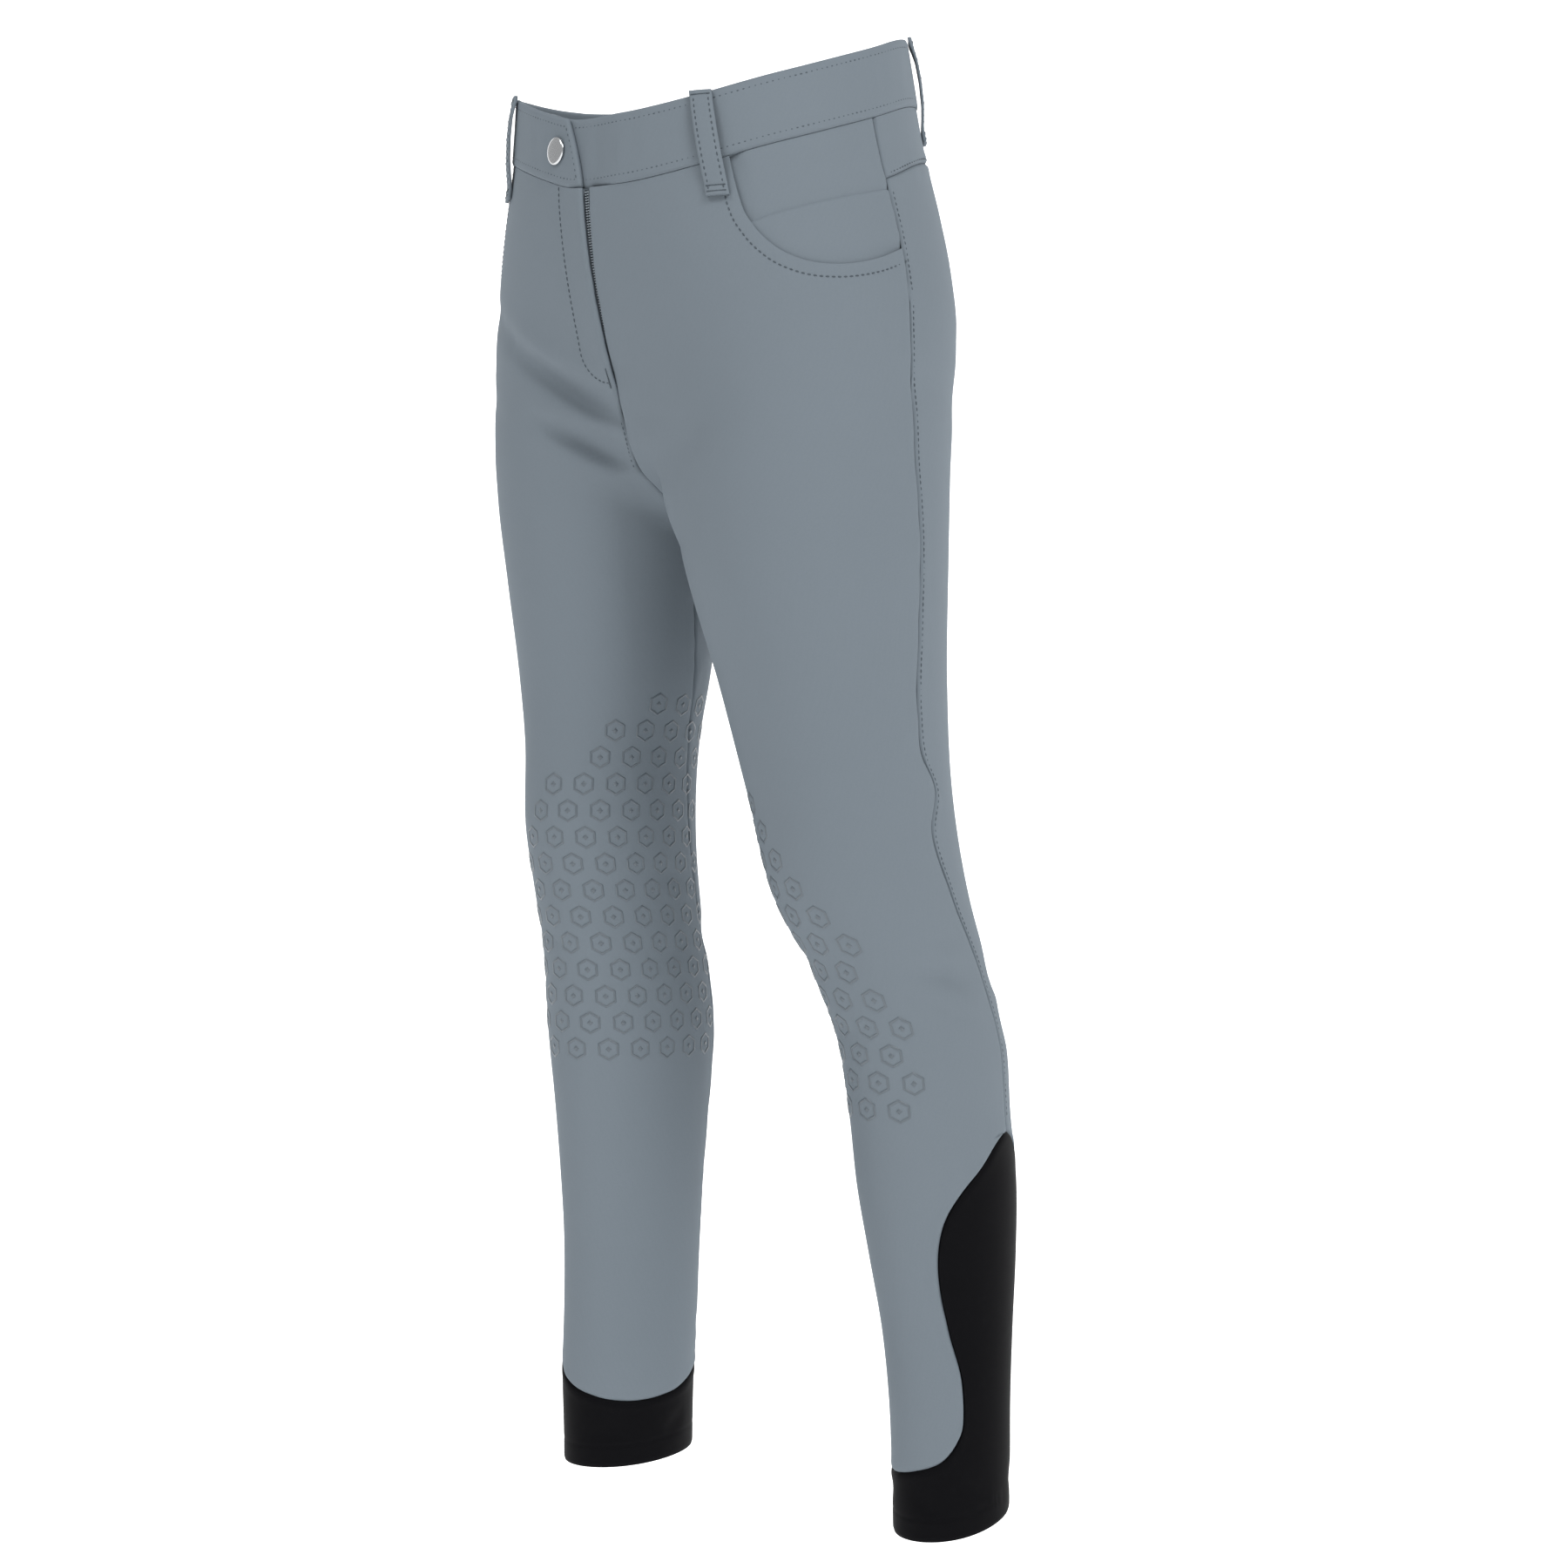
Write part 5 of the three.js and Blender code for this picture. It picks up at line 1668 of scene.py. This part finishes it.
    def topstitch(self) -> bpy.types.Object:
        """The rows of stitches that show on this leg.

        Returns:
            One piece with the rows of the side seam, the yoke and the scoop.
        """
        form, leg = self.form, self.leg
        rows = []
        bearing, top_z = self.seam_top()
        z = np.linspace(-650, top_z, 300)
        rows.append(self.on_leg(form.outseam[leg].at(z)["angle"] + 2.4 * form.per_mm(leg, z), z, 0.2))
        turn = np.linspace(bearing + 1.2, 179.2, 90)
        rows.append(self.on_torso(turn, self.yoke_bottom(turn) + 2.4, 0.2))
        scoop_bearing, scoop_z = self.pocket_edge(np.linspace(0.01, 0.995, 160))
        path = form.torso_point(leg.value * scoop_bearing, scoop_z)
        heading = np.gradient(path, axis=0)
        heading /= np.linalg.norm(heading, axis=1, keepdims=True)
        moved = path + np.cross(heading, form.normals(path)) * (leg.value * self.scoop_stitch)
        rows.append(self.on_leg(form.leg_angle(leg, moved, False), moved[:, 2], 0.12))
        name = f"topstitch_{leg.word}"
        return self.declare(Stitching().sew(name, rows), Finish.THREAD, f"front_{leg.word}")


# Waist and closure


@dataclass
class Waist(Tailor):
    """The waistband with its lapping end, the belt loops and the snap.

    Attributes:
        height: of the band.
        wall: thickness of the folded band.
        proud: how far its face stands off the panels.
        lap_step: how far the lower end is pressed in under the lapping end.
        tab_end: bearing of the lapping end at its lower corner.
        tab_lean: how many degrees its upper corner leans back.
        underlap: bearing of the end that lies under it.
        snap_bearing: where the snap sits.
        snap_drop: from the band's top edge to the snap.
        snap_diameter: of the snap's cap.
        loop_width: of a belt loop.
        loop_lean: how many degrees a loop's foot stands outward of its top.
        bar_places: heights over the band's lower edge and over the form of the bar tacks on a loop.
        loop_bearings: where the belt loops sit, by node.
    """

    height: float = BAND_HEIGHT
    wall: float = 2.8
    proud: float = 1.2
    lap_step: float = 3.3
    tab_end: float = -0.5
    tab_lean: float = 6.5
    underlap: float = -19.0
    snap_bearing: float = -12.5
    snap_drop: float = 21.5
    snap_diameter: float = 17.0
    loop_width: float = 13.0
    loop_lean: float = 3.0
    bar_places: tuple[tuple[float, float], ...] = ((-17.6, 2.8), (-14.2, 2.8), (40.4, 4.2))
    loop_bearings: dict[str, float] = field(
        default_factory=lambda: {
            "belt_loop_front_left": 43.5,
            "belt_loop_front_right": -43.5,
            "belt_loop_side_left": 118.0,
            "belt_loop_side_right": -118.0,
            "belt_loop_back": 180.0,
        }
    )

    def lap_drop(self, bearing: Array) -> Array:
        """How far the band is pressed in under its lapping end, easing out by 3s^2 - 2s^3.

        Args:
            bearing: where on the band.

        Returns:
            Millimetres at each bearing.
        """
        share = np.clip((bearing - self.tab_end - 4) / 14, 0, 1)
        drop = self.lap_step * (1 - share * share * (3 - 2 * share))
        return np.where(bearing < 30, drop, 0.0)

    def on_band(self, bearing: Array, up: Array, height: Array | float) -> tuple[Array, Array]:
        """Places over the band, by height over its lower edge, and their normals."""
        z = self.form.waist_top(bearing) - self.height + up
        return self.form.raised(self.form.torso_point(bearing, z), height)

    def tab(self, up: Array | float) -> Array | float:
        """The bearing of the lapping end by height, once round: it leans back as (up / height)^1.5."""
        return 360 + self.tab_end - self.tab_lean * (up / self.height) ** 1.5

    def band(self) -> bpy.types.Object:
        """The waistband, once round and over its own end.

        Returns:
            The piece.
        """
        columns = np.linspace(0, 1, 340)
        rows = np.linspace(0, self.height, 22)
        share, up = np.meshgrid(columns, rows)
        bearing = mix(self.underlap, self.tab(up), share)
        edge = np.minimum(up, self.height - up)
        end = np.minimum(bearing - self.underlap, self.tab(up) - bearing) * MM_PER_DEGREE
        rng = np.random.default_rng(SEED + 5)
        rates = (0.21, 0.33, 0.52, 0.8)
        waves = sum(np.sin(bearing * rate + rng.uniform(0, 6.3)) * rng.uniform(0.3, 1) for rate in rates)
        groove = -0.3 * np.exp(-(((edge - 5.0) / 0.9) ** 2))
        lift = self.proud - self.lap_drop(bearing) + groove + 0.12 * waves * np.sin(np.pi * up / self.height)
        lift = lift - 0.75 * np.exp(-((edge / 1.3) ** 2)) - 0.5 * np.exp(-((end / 1.2) ** 2))
        outer, normals = self.on_band(bearing, up, lift)
        under = self.proud - self.lap_drop(bearing) - self.wall + 0.6 * np.exp(-((edge / 1.3) ** 2))
        inner, _ = self.on_band(bearing, up, under)
        piece = wall_mesh("waistband", outer, inner)
        return self.declare(piece, Finish.CLOTH, "waistband", ["waistband"], Cut.WAISTBAND, ())

    def loop_middle(self, bearing: float, up: Array | float) -> Array | float:
        """The bearing of a loop's middle line by height."""
        side = 0.0 if abs(bearing) == 180 else math.copysign(1.0, bearing)
        return bearing + side * self.loop_lean * (1 - up / self.height)

    def loop_points(self, bearing: float, up: Array | float, across: Array | float) -> Array:
        """Places on the form under a belt loop.

        Args:
            bearing: of the loop.
            up: heights over the band's lower edge.
            across: millimetres from the loop's middle line.

        Returns:
            Points with a last axis of three.
        """
        z = self.form.waist_top(bearing) - self.height + up
        reach = np.linalg.norm(self.form.torso_point(np.full(z.shape, bearing), z)[..., :2], axis=-1)
        return self.form.torso_point(self.loop_middle(bearing, up) + np.degrees(across / reach), z)

    def loop(self, name: str, bearing: float) -> bpy.types.Object:
        """A belt loop: a folded strip whose ends are turned under and barred down.

        Args:
            name: the piece's name.
            bearing: where it sits.

        Returns:
            The piece.
        """
        data = np.array(LOOP_PROFILE)
        length = spans(data[:, None, :2], 0)[:, 0]
        steps = np.linspace(0, length[-1], 60)
        up, under, over = (np.interp(steps, length, data[:, k]) for k in range(3))
        for _ in range(3):
            under[1:-1] = (under[:-2] + 2 * under[1:-1] + under[2:]) / 4
            over[1:-1] = (over[:-2] + 2 * over[1:-1] + over[2:]) / 4
        share = np.linspace(-0.5, 0.5, 13)
        crown = -0.45 * np.exp(-(((0.5 - np.abs(share)) * self.loop_width / 1.1) ** 2))
        groove = -0.2 * np.exp(-(((0.5 - np.abs(share)) * self.loop_width - 2.4) ** 2) / 0.5)
        points = self.loop_points(bearing, up[:, None], share[None] * self.loop_width)
        outer, _ = self.form.raised(points, over[:, None] + crown + groove)
        inner, _ = self.form.raised(points, under[:, None])
        piece = wall_mesh(name, outer, inner)
        return self.declare(piece, Finish.CLOTH, name, [name], Cut.LOOP)

    def snap(self) -> bpy.types.Object:
        """The snap's cap: a shallow dome in a rolled rim, turned once round its axis.

        Returns:
            The piece.
        """
        radius = self.snap_diameter / 2
        rim = [(0.0, 0.0), (radius - 0.5, 0.0), (radius, 0.45), (radius + 0.05, 1.0), (radius - 0.2, 1.5)]
        far = radius - 0.7
        stations = (1.0, 0.94, 0.84, 0.7, 0.52, 0.32, 0.12, 0.003)
        dome = [(far * s, 1.75 + 0.6 * math.sqrt(1 - s * s)) for s in stations]
        profile = np.array(rim + dome)
        profile[0, 0] = 0.02
        turn = np.linspace(0, 2 * np.pi, 73)[:-1]
        bearing = np.array(self.snap_bearing)
        base, normal = self.on_band(bearing, np.array(self.height - self.snap_drop), self.proud + 0.15)
        side = np.cross(np.array([0.0, 0.0, 1.0]), normal)
        side /= np.linalg.norm(side)
        rise = np.cross(normal, side)
        ring = np.cos(turn)[None, :, None] * side + np.sin(turn)[None, :, None] * rise
        points = base + profile[:, :1, None] * ring + profile[:, 1:, None] * normal
        quads = grid_quads(len(profile), len(turn), True)
        piece = make_mesh("snap_cap", points.reshape(-1, 3), quads)
        return self.declare(piece, Finish.METAL, "snap_cap", ["snap_cap"])

    def stitches(self) -> bpy.types.Object:
        """The two rows along the band, the row at its tab end and the rows down the belt loops.

        Returns:
            One piece with all the rows.
        """
        rows = []
        inset, once_round, from_band_edge, from_edge, sunk = 1.7, 359.6, 5.0, 2.2, 0.15
        for up in (from_band_edge, self.height - from_band_edge):
            turn = np.linspace(self.tab(up) - once_round, self.tab(up) - inset, 700)
            rows.append(self.on_band(turn, np.full(turn.shape, up), self.proud - self.lap_drop(turn) - 0.25))
        up = np.linspace(from_band_edge, self.height - from_band_edge, 30)
        rows.append(self.on_band(self.tab(up) - inset, up, self.proud - 0.1))
        data = np.array(LOOP_PROFILE)
        level = np.linspace(-17.0, 39.0, 60)
        over = np.interp(level, data[:, 0], data[:, 2])
        for bearing in self.loop_bearings.values():
            for side in (-1, 1):
                points = self.loop_points(bearing, level, side * (self.loop_width / 2 - from_edge))
                rows.append(self.form.raised(points, over - sunk))
        piece = Stitching().sew("topstitch_band", rows)
        return self.declare(piece, Finish.THREAD, "waistband")

    def bars(self) -> bpy.types.Object:
        """Bar tacks: short close stitches across the loops' ends.

        Returns:
            One piece with all the tacks.
        """
        rows = []
        for bearing in self.loop_bearings.values():
            for up, height in self.bar_places:
                points = self.loop_points(bearing, up, np.linspace(-0.42, 0.42, 9) * self.loop_width)
                rows.append(self.form.raised(points, height))
        piece = Stitching(pitch=0.9, length=1.4, width=0.8, height=0.5).sew("bar_tacks", rows)
        return self.declare(piece, Finish.THREAD, "waistband")

    def build(self) -> list[bpy.types.Object]:
        """All of the waist."""
        loops = [self.loop(name, bearing) for name, bearing in self.loop_bearings.items()]
        return [self.band(), *loops, self.snap(), self.stitches(), self.bars()]


@dataclass
class Fly(Tailor):
    """The fly: its facing, the zip and the shield behind it, and the curved row of stitches.

    Attributes:
        facing_width: of the facing under the right front.
        shield_width: of the shield behind the zip.
        tape_width: of the zip's two tapes.
    """

    facing_width: float = 34.0
    shield_width: float = 48.0
    tape_width: float = 22.0

    def strip(
        self,
        name: str,
        sides: tuple[float, float],
        bottom: float,
        height: float,
        wall: float,
        finish: Finish,
        cut: Cut,
    ) -> bpy.types.Object:
        """A flat strip beside the front's middle, by how far it reaches to each side.

        Args:
            name: the piece's name.
            sides: how far it reaches to the right and left of the middle.
            bottom: height of its lower end.
            height: of its face over the form.
            wall: its thickness.
            finish: what it is made of.
            cut: its cut.

        Returns:
            The piece.
        """
        depth = float(-self.form.torso_point(np.array(0.0), np.array(-120.0))[1])
        turn = np.degrees(np.arctan2(np.linspace(*sides, 16), depth))
        share = np.linspace(0, 1, 44)
        top = self.form.waist_top(turn) - BAND_HEIGHT - 1
        z = mix(bottom, top[None], share[:, None])
        outer, normals = self.form.raised(self.form.torso_point(np.broadcast_to(turn, z.shape), z), height)
        piece = wall_mesh(name, outer, outer - normals * wall)
        return self.declare(piece, finish, name, [name], cut)

    def beside_middle(self, x: Array, z: Array, height: Array | float) -> tuple[Array, Array]:
        """Places beside the front's middle, by how far across they are, and their normals.

        Args:
            x: millimetres across from the middle.
            z: heights in millimetres.
            height: over the form.

        Returns:
            The places and their normals.
        """
        depth = -self.form.torso_point(np.zeros_like(z), z)[:, 1]
        return self.form.raised(self.form.torso_point(np.degrees(np.arctan2(x, depth)), z), height)

    def on_cloth(self, x: Array, z: Array, height: Array) -> tuple[Array, Array]:
        """Places on the right front, folds and all, by how far across they are, and their normals.

        Args:
            x: millimetres across from the middle.
            z: heights in millimetres.
            height: over the cloth.

        Returns:
            The places and their normals.
        """
        points, _ = self.beside_middle(x, z, 0.0)
        angle = self.form.leg_angle(Leg.RIGHT, points, False)
        return self.form.raised(self.form.leg_point(Leg.RIGHT, angle, z), height)

    def end_bar(self) -> bpy.types.Object:
        """The short upright bar tack at the fly's end.

        Returns:
            The piece.
        """
        z = np.linspace(FLY_BOTTOM + 9, FLY_BOTTOM - 3, 24)
        row = self.on_cloth(np.full(z.shape, -3.0), z, fly_stand(np.full(z.shape, -3.0), z) + 0.35)
        piece = Stitching(pitch=0.9, length=1.4, width=1.3, height=0.5).sew("fly_bar", [row])
        return self.declare(piece, Finish.THREAD, "front_right")

    def teeth(self) -> bpy.types.Object:
        """The closed coil down the tape's middle: small rounded beads at 1.6 mm.

        Returns:
            The piece.
        """
        z = np.linspace(FLY_BOTTOM + 6, float(self.form.waist_top(0.0)) - BAND_HEIGHT - 2, 60)
        rows = []
        for x in (0.7, 2.7):
            rows.append(self.beside_middle(np.full(z.shape, x), z, -1.9))
        piece = Stitching(pitch=1.6, length=1.2, width=2.0, height=1.2).sew("zip_coil", rows)
        return self.declare(piece, Finish.TEETH, "zip_tape")

    def curve(self) -> bpy.types.Object:
        """The row of stitches that holds the facing: straight down and curved in to the fly's end.

        Returns:
            One piece with that row and the row below it beside the centre seam.
        """
        up = np.linspace(0, 1, 120)
        top = float(self.form.waist_top(-14.0)) - BAND_HEIGHT - 2
        z = mix(top, FLY_BOTTOM, up)
        turn_in = np.clip((up - 0.82) / 0.18, 0, 1)
        x = mix(-24, -2.0, 1 - np.sqrt(1 - np.minimum(turn_in, 0.999) ** 2))
        rows = [self.on_cloth(x, z, 0.25 + fly_stand(x, z))]
        below = np.linspace(FLY_BOTTOM - 5, FLY_BOTTOM - 50, 60)
        rows.append(self.on_cloth(np.full(below.shape, -2.6), below, 0.25 + 0 * below))
        piece = Stitching().sew("topstitch_fly", rows)
        return self.declare(piece, Finish.THREAD, "front_right")

    def build(self) -> list[bpy.types.Object]:
        """All of the fly.

        Returns:
            Its pieces.
        """
        facing = (-self.facing_width, -1.0)
        tape = (-self.tape_width / 2, self.tape_width / 2)
        shield = (-self.shield_width / 2, self.shield_width / 2)
        # from the front inward: each layer's lower end, the height of its face and its thickness
        return [
            self.strip("fly_facing", facing, FLY_BOTTOM, -1.9, 1.1, Finish.LINING, Cut.FLY_FACING),
            self.strip("zip_tape", tape, FLY_BOTTOM + 4, -3.5, 0.9, Finish.TAPE, Cut.TAPE),
            self.strip("fly_shield", shield, FLY_BOTTOM - 2, -4.9, 1.1, Finish.CLOTH, Cut.SHIELD),
            self.teeth(),
            self.curve(),
            self.end_bar(),
        ]


# Grips


class GripRow(NamedTuple):
    """The grip patch at a height: the leg angles between which its marks stand."""

    z: float
    inner: float
    outer: float


GRIP_PATCH = {
    Leg.RIGHT: rows_of(
        GripRow,
        (-392, -136, -72), (-408, -136, -50), (-426, -136, -26), (-458, -136, 6), (-494, -136, 24),
        (-580, -136, 34), (-622, -132, 10),
    ),
    Leg.LEFT: rows_of(
        GripRow,
        (-404, -136, -72), (-440, -136, -36), (-470, -136, -6), (-518, -136, 20), (-570, -136, 32),
        (-622, -136, 39), (-648, -132, 20),
    ),
}


@dataclass
class Grips(Tailor):
    """Printed silicone marks at the inner knee: hexagon rings with a lozenge inside, in level staggered rows.

    Attributes:
        leg: which leg.
        size: of a mark from corner to corner.
        line: width of the ring.
        height: over the cloth.
        pitch: from one mark to the next, across and up.
    """

    leg: Leg = Leg.LEFT
    size: float = 15.0
    line: float = 1.7
    height: float = 0.36
    pitch: tuple[float, float] = (20.5, 17.0)

    def places(self) -> Array:
        """Centres of the marks as millimetres round the leg and height, on a staggered net inside the patch.

        Returns:
            The centres, one a row.
        """
        px, pz = self.pitch
        patch = Table(GRIP_PATCH[self.leg])
        first, last = GRIP_PATCH[self.leg][0].z, GRIP_PATCH[self.leg][-1].z
        rows = np.arange(int((first - last) / pz) + 1)
        columns = np.arange(-9, 6)
        grid_c, grid_r = np.meshgrid(columns, rows)
        x = (grid_c + 0.5 * (grid_r % 2)) * px
        z = first - grid_r * pz
        angle = x * self.form.per_mm(self.leg, z)
        limits = patch.at(z)
        inside = (angle > limits["inner"]) & (angle < limits["outer"])
        return np.stack([x[inside], z[inside]], -1)

    def template(self) -> tuple[Array, Array]:
        """One mark in flat millimetres and height: a hexagon ring and a small lozenge, low raised bands.

        Returns:
            Its points and its faces.
        """
        corner = np.radians(np.arange(24) * 15 + 15)
        hexagon = np.cos(np.pi / 6) / np.cos((corner + np.pi / 6) % (np.pi / 3) - np.pi / 6)
        diamond = 1 / (np.abs(np.cos(corner)) + np.abs(np.sin(corner)))
        foot, top, lozenge = -0.12, self.height, 1.9
        far = self.size / 2 * hexagon
        near = far - self.line
        # out to in: the ring's foot, two shoulders and foot, then the lozenge's foot, shoulder and middle
        shapes = [
            ([far, far - 0.35, near + 0.35, near], [foot, top, top, foot]),
            ([lozenge * diamond, lozenge * diamond - 0.3, 0.05 + 0 * corner], [foot, top, top]),
        ]
        around = np.stack([np.cos(corner), np.sin(corner)], -1)
        parts, faces, start = [], [], 0
        for radii, lifts in shapes:
            levels = [np.column_stack([r[:, None] * around, 0 * corner + h]) for r, h in zip(radii, lifts)]
            parts.append(np.concatenate(levels))
            faces.append(grid_quads(len(radii), len(corner), True, start))
            start += len(parts[-1])
        return np.concatenate(parts), np.concatenate(faces)

    def build(self) -> bpy.types.Object:
        """All marks on this leg.

        Returns:
            The piece.
        """
        flat, faces = self.template()
        places = self.places()
        x = places[:, None, 0] + flat[None, :, 0]
        z = places[:, None, 1] + flat[None, :, 1]
        angle = x * self.form.per_mm(self.leg, places[:, None, 1])
        points = self.form.leg_point(self.leg, angle, z)
        raised, _ = self.form.raised(points, flat[None, :, 2])
        offsets = np.arange(len(places))[:, None, None] * len(flat)
        quads = (faces[None] + offsets).reshape(-1, 4)
        if self.leg is Leg.RIGHT:
            quads = quads[:, ::-1]
        piece = make_mesh(f"grips_{self.leg.word}", raised.reshape(-1, 3), quads)
        return self.declare(piece, Finish.GRIP, f"front_{self.leg.word}")


# Studio


@dataclass
class Studio:
    """A plain pale floor, soft lights and the camera where the photograph was taken from.

    Attributes:
        bearing: the camera's bearing from the front, towards the wearer's left.
        distance: from the garment's axis to the camera.
        aim: side and height of the camera's line of sight.
        lens: focal length on a 36 mm sensor.
        floor: height of the floor.
    """

    bearing: float = 46.0
    distance: float = 1.7
    aim: tuple[float, float] = (0.043, -0.443)
    lens: float = 61.2
    floor: float = -1.0

    def camera(self) -> None:
        """Puts the camera level at the garment's middle height."""
        turn = math.radians(self.bearing)
        data = bpy.data.cameras.new("camera")
        data.lens, data.sensor_width = self.lens, 36
        camera = bpy.data.objects.new("camera", data)
        camera.location = (
            math.sin(turn) * self.distance + math.cos(turn) * self.aim[0],
            -math.cos(turn) * self.distance + math.sin(turn) * self.aim[0],
            self.aim[1],
        )
        camera.rotation_euler = (math.pi / 2, 0, turn)
        bpy.context.scene.collection.objects.link(camera)
        bpy.context.scene.camera = camera

    def light(self, lamp: Lamp) -> bpy.types.Object:
        """A large soft light that faces the garment's middle.

        Args:
            lamp: where it stands and how strong it is.

        Returns:
            The light.
        """
        data = bpy.data.lights.new(lamp.name, "AREA")
        data.energy, data.size, data.shape = lamp.power, lamp.size, "SQUARE"
        light = bpy.data.objects.new(lamp.name, data)
        turn = math.radians(lamp.bearing)
        place = np.array([math.sin(turn) * lamp.away, -math.cos(turn) * lamp.away, lamp.height])
        light.location = place
        middle = np.array([0, 0, -0.45])
        aim = middle - place
        light.rotation_euler = (
            math.pi / 2 - math.atan2(-aim[2], math.hypot(aim[0], aim[1])),
            0,
            math.atan2(aim[1], aim[0]) - math.pi / 2,
        )
        bpy.context.scene.collection.objects.link(light)
        return light

    def sweep(self) -> bpy.types.Object:
        """The floor, which bends up behind the garment in a quarter circle of 900 mm as a paper sweep does.

        Returns:
            The floor.
        """
        bend, before, behind, high, half = 900.0, 4200.0, 1900.0, 3600.0, 4500.0
        turn = np.linspace(0, np.pi / 2, 13)
        flat = [(-before, 0.0)]
        curve = [(behind + bend * math.sin(a), bend - bend * math.cos(a)) for a in turn]
        profile = np.array(flat + curve + [(behind + bend, high)])
        back = np.array([-math.sin(math.radians(self.bearing)), math.cos(math.radians(self.bearing)), 0.0])
        across = np.array([back[1], -back[0], 0.0])
        rise = np.array([0.0, 0.0, 1.0])
        sides = np.array([-half, half])
        points = profile[:, None, :1] * back + profile[:, None, 1:] * rise + sides[None, :, None] * across
        points[..., 2] += self.floor / MM
        return make_mesh("floor", points.reshape(-1, 3), grid_quads(len(profile), 2, False, flip=True))

    def build(self, palette: Palette) -> None:
        """Sets the stage.

        Args:
            palette: the finishes.
        """
        floor = self.sweep()
        floor.data.materials.append(palette.get(Finish.FLOOR))
        [self.light(lamp) for lamp in LAMPS]
        world = bpy.data.worlds.new("studio")
        world.use_nodes = True
        world.node_tree.nodes["Background"].inputs["Color"].default_value = (1, 1, 1, 1)
        world.node_tree.nodes["Background"].inputs["Strength"].default_value = 0.5
        bpy.context.scene.world = world
        bpy.context.scene.view_settings.view_transform = "Standard"
        self.camera()


def main() -> None:
    """Builds the breeches and the studio in order."""
    logging.basicConfig(level=logging.INFO, format="%(name)s %(message)s")
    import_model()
    form, palette = Form(), Palette()
    for leg in Leg:
        panels = LegPanels(form, palette, leg=leg)
        panels.build()
        panels.topstitch()
    Waist(form, palette).build()
    Fly(form, palette).build()
    for leg in Leg:
        Grips(form, palette, leg=leg).build()
    Studio().build(palette)


if __name__ == "__main__":
    main()
